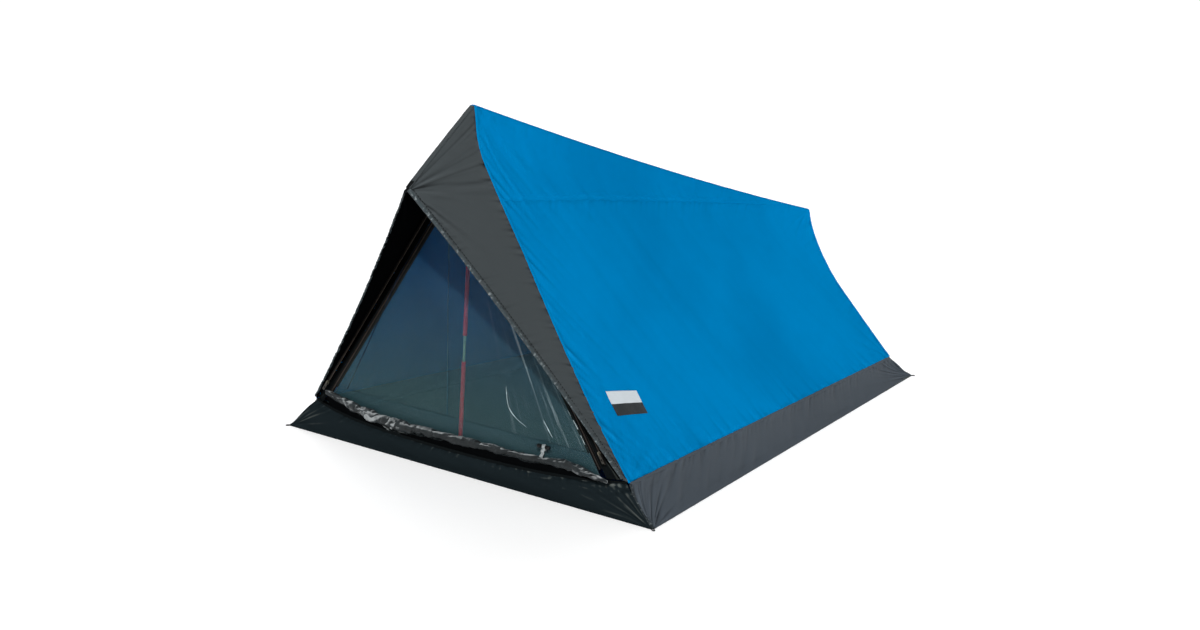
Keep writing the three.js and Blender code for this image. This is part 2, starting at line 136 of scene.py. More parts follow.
def hem_rail():
    """The hood's hem line, from its point down to the corner."""
    lines = []
    for group in groups(vertices("hood_hem_right"), 2, 15 * MM):
        foremost = group[np.argsort(group[:, 1])][:2]
        lines.append(foremost.mean(0))
    return np.array(lines)[::-1]


HEM = hem_rail()

band_points = vertices("ground_band_right")
BAND_FRONT, BAND_REAR = end_rail(band_points, False), end_rail(band_points, True)
SILL_FOOT = level_rail("front_sill", below=5 * MM)
SILL_TOP = level_rail("front_sill", above=66 * MM)
STRIP_HEAD = level_rail("mesh_strip", above=140 * MM)
STRIP_FOOT = level_rail("mesh_strip", below=102.8 * MM)
REAR_BAND_FOOT = level_rail("rear_band", below=5 * MM)
REAR_BAND_TOP = level_rail("rear_band", above=58 * MM)
BUNCH = rail(vertices("storm_door_bunch"), 0, 8 * MM)


def side_rails(node, gap=4 * MM):
    """The inner and outer edges of an upright node, from the top down."""
    inner, outer = [], []
    for group in groups(vertices(node), 2, gap):
        for line, x in ((inner, group[:, 0].min()), (outer, group[:, 0].max())):
            line.append(group[np.abs(group[:, 0] - x) < 2 * MM].mean(0))
    return np.array(inner)[::-1], np.array(outer)[::-1]


JAMB_INNER, JAMB_OUTER = side_rails("door_jamb_right")
door_points = vertices("mesh_door")
DOOR_LOW, DOOR_HIGH = door_points[:, 2].min(), door_points[:, 2].max()
door_foot = door_points[door_points[:, 2] < DOOR_LOW + 5 * MM]
door_head = door_points[door_points[:, 2] > DOOR_HIGH - 5 * MM]

# ---- random fields
# Folds are sums of the fields below. In each term the first factor is how high its folds stand, and the
# numbers that divide or follow a position are their spacing, reach and slant, in metres and shares. The
# last whole number of a field is its seed, which only keeps it different from the others.


def hashed(i, j, seed):
    """A fixed random number from -1 to 1 for each pair of whole numbers."""
    h = (i * 374761393 + j * 668265263 + seed * 69069) & 0xFFFFFFFF
    h = ((h ^ (h >> 13)) * 1274126177) & 0xFFFFFFFF
    return ((h ^ (h >> 16)) & 0xFFFF) / 32767.5 - 1


def noise(x, y, seed):
    """A smooth random field from -1 to 1 with cells one unit wide."""
    x, y = np.broadcast_arrays(np.asarray(x, float), np.asarray(y, float))
    i, j = np.floor(x).astype(np.int64), np.floor(y).astype(np.int64)
    f, g = x - i, y - j
    f = f * f * f * (f * (f * 6 - 15) + 10)
    g = g * g * g * (g * (g * 6 - 15) + 10)
    near = lerp(hashed(i, j, seed), hashed(i + 1, j, seed), f)
    far = lerp(hashed(i, j + 1, seed), hashed(i + 1, j + 1, seed), f)
    return lerp(near, far, g)


def facets(x, y, seed):
    """A crumpled field from -1 to 1: flat triangles about one unit wide that meet in sharp folds."""
    x, y = x + 0.35 * noise(0.8 * x, 0.8 * y, seed + 91), y + 0.35 * noise(0.8 * x, 0.8 * y, seed + 92)
    i, j = np.floor(x).astype(np.int64), np.floor(y).astype(np.int64)
    f, g = x - i, y - j
    a, b = hashed(i, j, seed), hashed(i + 1, j, seed)
    c, d = hashed(i, j + 1, seed), hashed(i + 1, j + 1, seed)
    rising = np.where(f > g, a + (b - a) * f + (d - b) * g, a + (d - c) * f + (c - a) * g)
    falling = np.where(f + g < 1, a + (b - a) * f + (c - a) * g, d + (c - d) * (1 - f) + (b - d) * (1 - g))
    return np.where(hashed(i, j, seed + 5) > 0, rising, falling)


def puckers(along, away, seed, pitch=22 * MM, reach=45 * MM, slant=0.3):
    """Short folds that start at a seam: zero on the seam itself, and gone a reach away from it."""
    phase = (along + slant * away) / pitch
    folds = noise(phase, away / 0.2, seed) + 0.4 * noise(2.3 * phase, away / 0.1, seed + 1)
    length = reach * (1 + 0.6 * noise(phase / 2.5, 0.5, seed + 2))
    return folds * (1 - np.exp(-away / (4 * MM))) * np.exp(-away / length)


def fan(x, y, seed, rays=14, start=10 * MM, reach=0.25):
    """Folds that radiate from (0, 0)."""
    away = np.hypot(x, y)
    angle = np.arctan2(y, x)
    folds = noise(angle * rays / math.pi, away / 0.6, seed)
    return folds * (1 - np.exp(-away / start)) * np.exp(-away / reach)


# ---- materials


class Shader:
    """A node material under construction."""

    def __init__(self, name):
        self.material = bpy.data.materials.new(name)
        self.material.use_nodes = True
        self.tree = self.material.node_tree
        self.principled = self.tree.nodes["Principled BSDF"]
        self.output = self.tree.nodes["Material Output"]

    def add(self, kind, inputs=(), **settings):
        node = self.tree.nodes.new("ShaderNode" + kind)
        for key, value in settings.items():
            setattr(node, key, value)
        for key, value in dict(inputs).items():
            if isinstance(value, bpy.types.NodeSocket):
                self.tree.links.new(value, node.inputs[key])
            else:
                node.inputs[key].default_value = value
        return node

    def math(self, operation, a, b=0.0, clamp=False):
        return self.add("Math", {0: a, 1: b}, operation=operation, use_clamp=clamp).outputs[0]

    def link(self, socket, name):
        self.tree.links.new(socket, self.principled.inputs[name])

    def set(self, **values):
        for key, value in values.items():
            self.principled.inputs[key.replace("_", " ")].default_value = value

    def uv(self):
        return self.add("UVMap", uv_map="cloth").outputs[0]

    def place(self):
        return self.add("TexCoord").outputs["Object"]

    def noise(self, scale, detail=3.0, roughness=0.55, vector=None):
        vector = vector or self.place()
        inputs = {"Vector": vector, "Scale": scale, "Detail": detail, "Roughness": roughness}
        return self.add("TexNoise", inputs).outputs["Fac"]

    def ramp(self, fac, stops):
        """Colours along a value, from (position, colour) pairs."""
        node = self.add("ValToRGB", {"Fac": fac})
        node.color_ramp.interpolation = "EASE"
        for element, (position, colour) in zip(node.color_ramp.elements, stops):
            element.position = position
            element.color = opaque(colour)
        return node.outputs["Color"]

    def tones(self, field, colour, dark, light, low=0.3, high=0.7):
        """A colour that goes from a darker to a lighter shade along a field."""
        return self.ramp(field, [(low, shade(colour, dark)), (high, shade(colour, light))])

    def mix(self, fac, a, b):
        return self.add("Mix", {"Factor": fac, 6: opaque(a), 7: opaque(b)}, data_type="RGBA").outputs[2]

    def bump(self, height, distance, strength, normal=None):
        inputs = {"Height": height, "Distance": distance, "Strength": strength}
        if normal is not None:
            inputs["Normal"] = normal
        return self.add("Bump", inputs).outputs["Normal"]

    def rough(self, field, amount, least):
        """Roughness that rises with a field."""
        self.link(self.math("ADD", self.math("MULTIPLY", field, amount), least), "Roughness")

    def blend(self, share, other):
        """Gives a share of the surface to another shader."""
        both = self.add("MixShader", {0: share, 1: self.principled.outputs[0], 2: other.outputs[0]})
        self.tree.links.new(both.outputs[0], self.output.inputs["Surface"])

    def sines(self, vector, pitch, channel):
        """A wave across one channel of a vector in metres."""
        part = self.add("SeparateXYZ", {0: vector}).outputs[channel]
        return self.math("SINE", self.math("MULTIPLY", part, 2 * math.pi / pitch))


def linear(hexadecimal):
    """A linear colour from an sRGB one, such as 0x0277b4."""
    channels = [(hexadecimal >> shift & 255) / 255 for shift in (16, 8, 0)]
    return tuple(c / 12.92 if c <= 0.04045 else ((c + 0.055) / 1.055) ** 2.4 for c in channels)


def shade(colour, factor):
    return tuple(min(1, c * factor) for c in colour)


def opaque(colour):
    return colour if isinstance(colour, bpy.types.NodeSocket) else (*colour, 1)


def weave(s, pitch):
    """The height of a plain weave: threads over and under each other."""
    vector = s.uv()
    return s.math("MULTIPLY", s.sines(vector, pitch, 0), s.sines(vector, pitch, 1))


def cloth(name, colour, roughness=0.55, pitch=WEAVE_PITCH, light=None, dark=None,
          crinkle=0.35 * MM, coat=0.0, through=0.0, gloss=0.14, crease_shade=0.45, ridge_highlight=0.35, ridge_highlight_colour=None):
    """Coated tent cloth: plain weave, fine crinkles, uneven dye, painted shade in the hollows of folds and
    painted highlight on their ridges.

    crease_shade and ridge_highlight are how strongly painted shade darkens hollows and painted highlight
    pales ridges, towards ridge_highlight_colour; through is the share of light let through.
    """
    s = Shader(name)
    broad = s.noise(1.7, 3)
    base = s.ramp(broad, [(0.3, dark or shade(colour, 0.93)), (0.72, light or shade(colour, 1.05))])
    mottled = s.noise(38, 5, 0.65)
    base = s.mix(s.math("MULTIPLY", mottled, 0.14), base, shade(colour, 0.72))
    threads = s.noise(1400, 1)
    base = s.mix(s.math("MULTIPLY", threads, 0.16), base, shade(colour, 1.3))
    # painted shade darkens the hollows and painted highlight pales the ridges: "fold" is made with each sheet
    fold = s.add("Attribute", attribute_name="fold").outputs["Fac"]
    hollow = s.math("MULTIPLY", fold, -crease_shade, clamp=True)
    base = s.mix(s.math("MULTIPLY", hollow, 0.9), base, shade(colour, 0.25))
    ridge = s.math("MULTIPLY", s.math("SUBTRACT", fold, 0.25), ridge_highlight, clamp=True)
    base = s.mix(ridge, base, ridge_highlight_colour or shade(colour, 1.6))
    s.link(base, "Base Color")
    s.rough(s.noise(9, 4, 0.6), 0.16, roughness - 0.08)
    crinkled = s.bump(s.noise(75, 4, 0.62), crinkle, 0.6)
    woven = s.bump(weave(s, pitch), 0.06 * MM, 0.5, crinkled)
    s.link(woven, "Normal")
    s.set(Specular_IOR_Level=gloss)
    if coat:
        s.set(Coat_Weight=coat, Coat_Roughness=0.22)
    if through:
        s.blend(through, s.add("BsdfTranslucent", {"Color": base, "Normal": woven}))
    return s.material


MEAN_HOLE = 0.405  # the mean of a product of two sines without their signs
LIT_HAZE_HEIGHTS = (0.04, 0.42)  # the heights above the netting's foot between which its painted lit haze fades away


def netting(name, colour, low, cover, pitch=1.5 * MM, streaked=None):
    """Insect netting: fine threads with clear holes, painted light that makes it a lighter grey-green near
    its foot, painted highlight along folds.

    cover is the mean share that the threads hide.
    """
    s = Shader(name)
    base = s.tones(s.noise(5, 4, 0.6), colour, 0.8, 1.2)
    parts = s.add("SeparateXYZ", {0: s.uv()})
    # painted light: lighter and greener towards the foot, as the netting looks where sunlit
    lit_haze = s.add("MapRange", {"Value": parts.outputs[1], "From Min": LIT_HAZE_HEIGHTS[0], "From Max": LIT_HAZE_HEIGHTS[1],
                              "To Min": 1.0, "To Max": 0.0}).outputs[0]
    base = s.mix(lit_haze, base, low)
    # painted highlight: pale streaks along the folds across part of the door's width
    if streaked:
        start, end = streaked
        place = s.add("Mapping", {"Vector": s.uv(), "Scale": (75, 2.2, 1)}).outputs[0]
        streak = s.ramp(s.noise(1, 3, 0.6, place), [(0.55, (0, 0, 0)), (0.70, (0.85, 0.85, 0.85))])
        near = s.add("MapRange", {"Value": parts.outputs[0], "From Min": start, "From Max": end}).outputs[0]
        streak = s.math("MULTIPLY", streak, near)
        base = s.mix(streak, base, STREAK)
    s.link(base, "Base Color")
    s.set(Roughness=0.42, Sheen_Weight=0.05, Sheen_Roughness=0.4, Specular_IOR_Level=0.12)
    across, along = (s.math("ABSOLUTE", s.sines(s.uv(), pitch * 2, channel)) for channel in (0, 1))
    hole = s.math("MULTIPLY", across, along)
    s.link(s.bump(s.math("SUBTRACT", 1.0, hole), 0.15 * MM, 0.4), "Normal")
    gap = s.math("MULTIPLY", hole, (1 - cover) / MEAN_HOLE, clamp=True)
    s.blend(gap, s.add("BsdfTransparent", {"Color": (1, 1, 1, 1)}))
    return s.material


def flecked(name, colour, pale):
    """Puckered cloth at a hem, with small pale flecks along its stitching that are painted highlights."""
    s = Shader(name)
    stretched = s.add("Mapping", {"Vector": s.uv(), "Scale": (170, 60, 1)}).outputs[0]
    fleck = s.noise(1, 4, 0.7, stretched)
    where = s.noise(7, 2)
    # painted highlight: pale flecks mixed into the colour
    amount = s.math("MULTIPLY", s.ramp(fleck, [(0.52, (0, 0, 0)), (0.66, (1, 1, 1))]), where, clamp=True)
    base = s.mix(amount, s.mix(s.noise(60), shade(colour, 0.7), shade(colour, 1.3)), pale)
    s.link(base, "Base Color")
    s.rough(fleck, 0.2, 0.4)
    s.set(Specular_IOR_Level=0.08)
    s.link(s.bump(weave(s, WEAVE_PITCH), 0.06 * MM, 0.5, s.bump(fleck, 0.5 * MM, 0.6)), "Normal")
    return s.material


def webbing(name, colour, rib=1.6 * MM):
    """Ribbed webbing with a slight fuzz."""
    s = Shader(name)
    tone = s.noise(220, 3)
    s.link(s.tones(tone, colour, 0.7, 1.35), "Base Color")
    s.set(Sheen_Weight=0.02, Sheen_Roughness=0.5, Specular_IOR_Level=0.04)
    s.rough(tone, 0.2, 0.65)
    place = s.place()
    ribs = s.sines(place, rib, 2)
    cross = s.math("MULTIPLY", s.sines(place, rib * 0.6, 0), s.sines(place, rib * 0.6, 1))
    height = s.math("ADD", ribs, s.math("MULTIPLY", cross, 0.5))
    s.link(s.bump(height, 0.15 * MM, 0.6), "Normal")
    return s.material


def plastic(name, colour, roughness=0.45):
    """Moulded plastic with a fine grain and scuffed high spots."""
    s = Shader(name)
    scuff = s.noise(60, 5, 0.65)
    s.link(s.tones(scuff, colour, 0.8, 1.4, 0.35, 0.75), "Base Color")
    s.rough(scuff, 0.25, roughness - 0.12)
    s.link(s.bump(s.noise(500, 2), 0.05 * MM, 0.5), "Normal")
    s.set(Specular_IOR_Level=0.2)
    return s.material


def metal(name, colour, roughness=0.3):
    """Plated die-cast metal, rubbed bright where fingers touch it."""
    s = Shader(name)
    rub = s.noise(180, 4, 0.6)
    s.link(s.tones(rub, colour, 0.65, 1), "Base Color")
    s.set(Metallic=1.0)
    s.rough(rub, 0.25, roughness - 0.1)
    s.link(s.bump(s.noise(900, 2), 0.03 * MM, 0.4), "Normal")
    return s.material


def fibreglass(name, colour, roughness=0.3):
    """Pultruded glass fibre: fine streaks along the pole under a gloss."""
    s = Shader(name)
    scale = s.add("Mapping", {"Vector": s.place(), "Scale": (900, 900, 9)}).outputs[0]
    streaks = s.noise(1, 4, 0.6, scale)
    s.link(s.tones(streaks, colour, 0.8, 1.15), "Base Color")
    s.rough(streaks, 0.15, roughness - 0.05)
    s.link(s.bump(streaks, 0.05 * MM, 0.5), "Normal")
    s.set(Coat_Weight=0.5, Coat_Roughness=0.15)
    return s.material


BLUE = linear(0x0088C9)
HOOD_GREY = linear(0x3B4042)
BAND_GREY = linear(0x41484F)
CHARCOAL = linear(0x171E21)
BLACK_CLOTH = linear(0x0E1112)
NET = linear(0x213F58)
NET_LIT_FOOT = linear(0x344F54)
# the colour of the netting's painted highlight streaks
STREAK = linear(0xA8BCC1)
PALE = linear(0x858B8C)
ROOF_TONES = {"light": linear(0x008ED0), "dark": linear(0x0081C0)}
STREAKED_WIDTH = (0.27, 0.42)  # the share of the door's mean width where its folds carry painted highlight streaks

# every cloth below takes painted shade in the hollows of its folds and painted highlight on their ridges; the
# pale colours given for the ridges are painted highlight colours
MATERIALS = {
    "roof": cloth("roof cloth", BLUE, 0.6, through=0.32, gloss=0.0, crease_shade=0.30, ridge_highlight=0.45,
                  ridge_highlight_colour=linear(0x0B9CE0), **ROOF_TONES),
    "hood": cloth("hood cloth", HOOD_GREY, 0.5, gloss=0.05, crease_shade=0.48, ridge_highlight=0.3),
    "hood_hem": flecked("hood hem cloth", linear(0x3A4245), linear(0x9BA4A6)),
    # near black as painted shade: the hood's inner side and the storm door's foot are coloured as they look
    # in shadow
    "painted_shade_black": cloth("hood cloth, inner side", linear(0x060708), 0.8, gloss=0.0),
    "band": cloth("ground band cloth", BAND_GREY, 0.5, gloss=0.04),
    "sill": cloth("sill cloth", CHARCOAL, gloss=0.0, crease_shade=0.5, ridge_highlight_colour=linear(0x6C716D)),
    "sill_seam": flecked("corner seam cloth", linear(0x22282B), linear(0x7C8587)),
    "black": cloth("jamb cloth", BLACK_CLOTH, gloss=0.0, crease_shade=0.5, ridge_highlight_colour=linear(0x656B66)),
    "storm": cloth("storm door cloth", linear(0x23282A), 0.36, crinkle=0.5 * MM, coat=0.15, gloss=0.1,
                   crease_shade=0.7, ridge_highlight=0.6, ridge_highlight_colour=linear(0x888C8D)),
    "floor": cloth("groundsheet cloth", linear(0x3C4540), 0.5, pitch=3 * MM),
    "net": netting("door netting", NET, NET_LIT_FOOT, 0.44, streaked=STREAKED_WIDTH),
    "strip_net": netting("lower netting", NET, NET_LIT_FOOT, 0.44),
    "vent_net": netting("vent netting", NET, NET_LIT_FOOT, 0.6),
    "net_seam": webbing("netting seam", linear(0x2C4650), 0.8 * MM),
    "net_line": webbing("dark line on the netting", linear(0x101C2A), 0.8 * MM),
    # painted glint: pale lines along creases in the netting
    "painted_glint": webbing("pale crease in the netting", linear(0xAFC0C3), 0.8 * MM),
    "door_binding": webbing("door binding", linear(0x161B1A), 0.9 * MM),
    "webbing": webbing("black webbing", linear(0x101213)),
    "pale_webbing": webbing("pale webbing", PALE),
    "zip_tape": webbing("zip tape", linear(0x0B0A09), 1.1 * MM),
    "zip_teeth": plastic("zip coil", linear(0x2B2520), 0.35),
    "black_plastic": plastic("black plastic", linear(0x0C0D0E)),
    "metal": metal("slider metal", linear(0x6E6A5E)),
    "dark_metal": metal("pull tab metal", linear(0x4C4A46), 0.4),
    "pole": fibreglass("red glass fibre", linear(0xFF2E3C)),
    "rod": fibreglass("green glass fibre", linear(0x9FD8BC), 0.4),
    "dark_thread": webbing("dark sewing thread", linear(0x14181A), 0.5 * MM),
    "blue_thread": webbing("blue sewing thread", linear(0x0A5F92), 0.5 * MM),
    "patch": cloth("label patch", linear(0xBFC7CC), 0.5, pitch=0.8 * MM),
    "patch_dark": cloth("label patch, lower field", linear(0x24292C), 0.5, pitch=0.8 * MM),
}

# ---- making sheets and tapes


def new_object(name, points, faces, uv=None, materials=(), smooth=True):
    """A mesh object from points and faces, with a UV map in metres if there is one."""
    mesh = bpy.data.meshes.new(name)
    mesh.from_pydata([tuple(p) for p in points], [], faces)
    if uv is not None:
        layer = mesh.uv_layers.new(name="cloth")
        loops = np.zeros(len(mesh.loops), np.int32)
        mesh.loops.foreach_get("vertex_index", loops)
        layer.data.foreach_set("uv", np.asarray(uv, np.float32)[loops].ravel())
    mesh.polygons.foreach_set("use_smooth", [smooth] * len(mesh.polygons))
    mesh.validate()
    for material in materials:
        mesh.materials.append(MATERIALS[material])
    obj = bpy.data.objects.new(name, mesh)
    bpy.context.scene.collection.objects.link(obj)
    return obj


def grid_faces(rows, columns, closed=False):
    """The quads of a grid of points, with the last column joined to the first if it is closed."""
    faces = []
    for r in range(rows - 1):
        for c in range(columns if closed else columns - 1):
            d = (c + 1) % columns
            faces.append((r * columns + c, r * columns + d, (r + 1) * columns + d, (r + 1) * columns + c))
    return faces


def normals_of(points):
    """The directions that a grid of points faces: columns crossed with rows."""
    along = np.gradient(points, axis=1)
    up = np.gradient(points, axis=0)
    n = np.cross(along, up)
    return n / np.maximum(np.linalg.norm(n, axis=2, keepdims=True), 1e-12)


def lengths(points, axis):
    """The lengths of a grid's lines along an axis."""
    return np.linalg.norm(np.diff(points, axis=axis), axis=2).sum(axis)


def grid_area(points):
    a = points[1:, :-1] - points[:-1, :-1]
    b = points[:-1, 1:] - points[:-1, :-1]
    c = points[1:, :-1] - points[1:, 1:]
    d = points[:-1, 1:] - points[1:, 1:]
    return (np.linalg.norm(np.cross(a, b), axis=2).sum() + np.linalg.norm(np.cross(c, d), axis=2).sum()) / 2


def blurred(field, radius):
    """A grid averaged over squares of cells out to a radius."""
    for axis in (0, 1):
        padding = [(radius + 1, radius) if k == axis else (0, 0) for k in (0, 1)]
        total = np.cumsum(np.pad(field, padding, mode="edge"), axis)
        count = field.shape[axis]
        high = np.take(total, np.arange(count) + 2 * radius + 1, axis)
        low = np.take(total, np.arange(count), axis)
        field = (high - low) / (2 * radius + 1)
    return field


def mark(obj, fold):
    """Stores the attribute "fold": above zero on ridges and below it in hollows."""
    attribute = obj.data.attributes.new("fold", "FLOAT", "POINT")
    attribute.data.foreach_set("value", np.clip(fold, -3, 3).astype(np.float32).ravel())


def mark_folds(obj, height, radius):
    """Marks how many millimetres each vertex stands above its surroundings."""
    mark(obj, (height - blurred(height, radius)) / MM)


def finish_piece(obj, body="tent", replaces=()):
    if replaces:
        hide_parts(*replaces)
    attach(obj, body)
    return obj


def thicken(obj, thickness=CLOTH_THICKNESS, inner=0):
    """Gives a sheet two sides; its inner one takes the material that many slots further on."""
    solid = obj.modifiers.new("thickness", "SOLIDIFY")
    solid.thickness = thickness
    solid.offset = 0
    solid.material_offset = inner


def sheet(name, surface, columns, rows, materials, slot, replaces, held, rests_on, bump=None,
          left=False, body="tent", thickness=CLOTH_THICKNESS):
    """A sheet of cloth: a smooth surface(u, v), pushed out by bump(s, t), s and t metres along and up it."""
    u, v = np.meshgrid(np.linspace(0, 1, columns + 1), np.linspace(0, 1, rows + 1))
    points = surface(u, v)
    width, length = lengths(points, 1), lengths(points, 0)
    area = grid_area(points)
    s, t = u * width.mean(), v * length.mean()
    out = normals_of(points)
    height = np.broadcast_to(bump(s, t) if bump else 0.0, s.shape)
    points = points + out * height[..., None]
    uv = np.stack([s, t], 2)
    if left:
        points = points[:, ::-1] * np.array([-1, 1, 1])
        uv, height = uv[:, ::-1], height[:, ::-1]
    faces = grid_faces(rows + 1, columns + 1)
    obj = new_object(name, points.reshape(-1, 3), faces, uv.reshape(-1, 2), materials)
    mark_folds(obj, height, max(2, int(FOLD_REACH / (length.mean() / rows))))
    thicken(obj, thickness, len(materials) - 1)
    finish_piece(obj, body, replaces)
    flat = (float(width.max()), float(length.max()))
    area = min(float(area), flat[0] * flat[1])
    return obj


def sweep(name, path, normal, section, materials, body="tent", replaces=(), wobble=None):
    """A closed bar along a path: section holds (across, out) points, and normal is where out points."""
    path = np.asarray(path, float)
    along = unit(np.gradient(path, axis=0))
    out = np.broadcast_to(normal, path.shape).astype(float)
    out = unit(out - (out * along).sum(1, keepdims=True) * along)
    across = np.cross(out, along)
    section = np.asarray(section, float)
    offsets = np.broadcast_to(section, (len(path), *section.shape)).copy()
    distance = distances(path)
    if wobble is not None:
        offsets = wobble(offsets, distance)
    points = path[:, None] + across[:, None] * offsets[..., :1] + out[:, None] * offsets[..., 1:]
    count = len(section)
    round_it = np.linalg.norm(np.diff(section, axis=0, append=section[:1]), axis=1)
    v = np.concatenate([[0], np.cumsum(round_it)])[:-1]
    uv = np.stack(np.broadcast_arrays(distance[:, None], v[None]), 2).reshape(-1, 2)
    faces = grid_faces(len(path), count, closed=True)
    faces.append(tuple(range(count))[::-1])
    faces.append(tuple((len(path) - 1) * count + k for k in range(count)))
    obj = new_object(name, points.reshape(-1, 3), faces, uv, materials)
    return finish_piece(obj, body, replaces)


def flat_section(width, thickness, steps=6):
    """The section of a folded tape: flat, with round edges."""
    half, radius = width / 2 - thickness / 2, thickness / 2
    right = [(half + radius * math.sin(a), -radius * math.cos(a)) for a in np.linspace(0, math.pi, steps)]
    left = [(-x, -y) for x, y in right]
    return right + left


def round_section(width, thickness, count=12):
    angles = np.arange(count) * 2 * math.pi / count
    return [(width / 2 * math.cos(a), thickness / 2 * math.sin(a)) for a in angles]


SEAM = flat_section(9 * MM, 2.2 * MM)


def puckered(seed, depth, pitch, squeeze):
    """Makes a tape rise and fall, and widen and narrow, as stitching pulls it."""
    def wobble(offsets, distance):
        wave = noise(distance / pitch, 0.5, seed) + 0.5 * noise(distance / pitch * 2.7, 0.5, seed + 1)
        offsets[..., 1] += depth * wave[:, None]
        offsets[..., 0] *= 1 + squeeze * noise(distance / pitch, 3.5, seed + 2)[:, None]
        return offsets
    return wobble


def hemmed(s, t, height, inset, width):
    """A raised line all round a sheet, an inset from its edge."""
    edge = np.minimum(np.minimum(s, s.max() - s), np.minimum(t, t.max() - t))
    return height * np.exp(-((edge - inset) / width) ** 2)


def sampled(surface, u, v):
    """A surface's points over a grid of u and v."""
    return surface(*np.meshgrid(u, v))


# ---- roof


def roof_surface(u, v):
    """The right roof cloth: u from front to rear, v from the ground band up to the ridge."""
    down = 1 - v
    point = lerp(on_rail(GABLE, down), on_rail(REAR_GABLE, down), u[..., None])
    point[..., 2] -= RIDGE_SAG * 4 * u * (1 - u) * (1 - down)
    return point


roof_grid = sampled(roof_surface, np.linspace(0, 1, 60), np.linspace(0, 1, 60))
ROOF_LENGTH, ROOF_HEIGHT = (lengths(roof_grid, axis).mean() for axis in (1, 0))
PANEL_SEAM = ((0.0, 0.758), (0.90, 0.992))  # the seam across each roof cloth, as (u, v) at its two ends


def panel_seam_height(u):
    """How far up the roof cloth, from 0 to 1, its cross seam lies."""
    (u0, v0), (u1, v1) = PANEL_SEAM
    return v0 + (v1 - v0) * (u - u0) / (u1 - u0)


def roof_bump(seed):
    def bump(s, t):
        length, height = ROOF_LENGTH, ROOF_HEIGHT
        u, v = s / length, t / height
        edge = np.minimum(np.minimum(u, 1 - u) * length, np.minimum(v, 1 - v) * height)
        inside = 1 - np.exp(-edge / 0.05)
        soft = 3.5 * MM * noise(s / 0.5 + 3, t / 0.36, seed)
        # folds drawn from the gable down towards the rear foot
        tilt = s * 0.50 - t * 0.87
        across = s * 0.87 + t * 0.50
        drawn = 2.4 * MM * noise(across / 0.075, tilt / 0.6, seed + 5)
        drawn += 1.1 * MM * noise(across / 0.034, tilt / 0.45, seed + 6)
        drawn *= 0.35 + 0.65 * np.exp(-s / 0.5)
        front = 3.2 * MM * puckers(t, s, seed + 7, 20 * MM, 60 * MM, 0.9)
        rear = 1.2 * MM * puckers(t, length - s, seed + 8, 24 * MM, 45 * MM, 0.4)
        foot = 2.4 * MM * puckers(s, t, seed + 9, 30 * MM, 60 * MM, 0.4)
        top = 0.9 * MM * puckers(s, height - t, seed + 10, 30 * MM, 40 * MM, 0.5)
        corners = 3.0 * MM * fan(s, t, seed + 11, 20, 20 * MM, 0.22)
        corners += 2.4 * MM * fan(length - s, t, seed + 12, 20, 20 * MM, 0.2)
        corners += 2.6 * MM * fan(s, height - t, seed + 13, 30, 20 * MM, 0.3)
        corners += 2.0 * MM * fan(length - s, height - t, seed + 14, 26, 20 * MM, 0.2)
        below = (panel_seam_height(u) - v) * height
        on_panel = np.clip((PANEL_SEAM[1][0] - u) / 0.05, 0, 1)
        lap = 1.7 * MM / (1 + np.exp(np.minimum(below / (0.8 * MM), 50)))
        seam = 0.9 * MM * puckers(s, np.abs(below), seed + 15, 16 * MM, 26 * MM, 0.9) + lap
        edges = front + rear + foot + top
        return (soft + drawn) * inside + edges + corners * inside + seam * on_panel * inside
    return bump


for side, seed in (("right", 100), ("left", 200)):
    mirror = mirror_of(side)
    sheet(f"roof_cloth_{side}", roof_surface, 300, 155, ["roof"], "roof_cloth", [f"roof_{side}"],
          "stretched", ["front_pole_pocket", "rear_pole_pocket"], roof_bump(seed), side == "left")
    u = np.linspace(0.004, PANEL_SEAM[1][0] - 0.01, 400)
    v = panel_seam_height(u)
    row = np.stack([roof_surface(u, v - 0.01), roof_surface(u, v), roof_surface(u, v + 0.01)])
    out = normals_of(row)[1]
    height = roof_bump(seed)(u * ROOF_LENGTH, (v - 0.004) * ROOF_HEIGHT)
    line = row[1] + out * (height + 0.5 * MM)[:, None]
    sweep(f"roof_panel_seam_{side}", line * mirror, out * mirror, flat_section(5 * MM, 1.2 * MM),
          ["roof"], wobble=puckered(seed + 70, 0.15 * MM, 14 * MM, 0.1))

sweep("ridge_binding", on_rail(RIDGE, np.linspace(0, 1, 200)), (0, 0, 1), flat_section(11 * MM, 2.4 * MM),
      ["roof"], replaces=["ridge_tape"], wobble=puckered(31, 0.25 * MM, 25 * MM, 0.05))

# ---- hood

HOOD_LIFT = 1 * MM  # how far the hood bows up between its point and the apex


def hood_surface(u, v):
    """The right hood cloth: u from the hem back to the gable seam, v from the corner up to the point."""
    down = 1 - v
    point = lerp(on_rail(HEM, down), on_rail(GABLE, down), u[..., None])
    point[..., 2] += HOOD_LIFT * 4 * u * (1 - u) * v ** 3
    return point


HOOD_WIDTH = 306 * MM  # at the top
HOOD_FOOT_WIDTH = 23 * MM
SEAM_LIFT = 1.1 * MM  # how far a gable seam stands proud of the cloths that meet in it
HOOD_CREASE = 0.235  # how far down the gable seam, from 0 to 1, the crease from the hood's point ends


def hood_width(v):
    return lerp(HOOD_FOOT_WIDTH, HOOD_WIDTH, v ** 1.1)


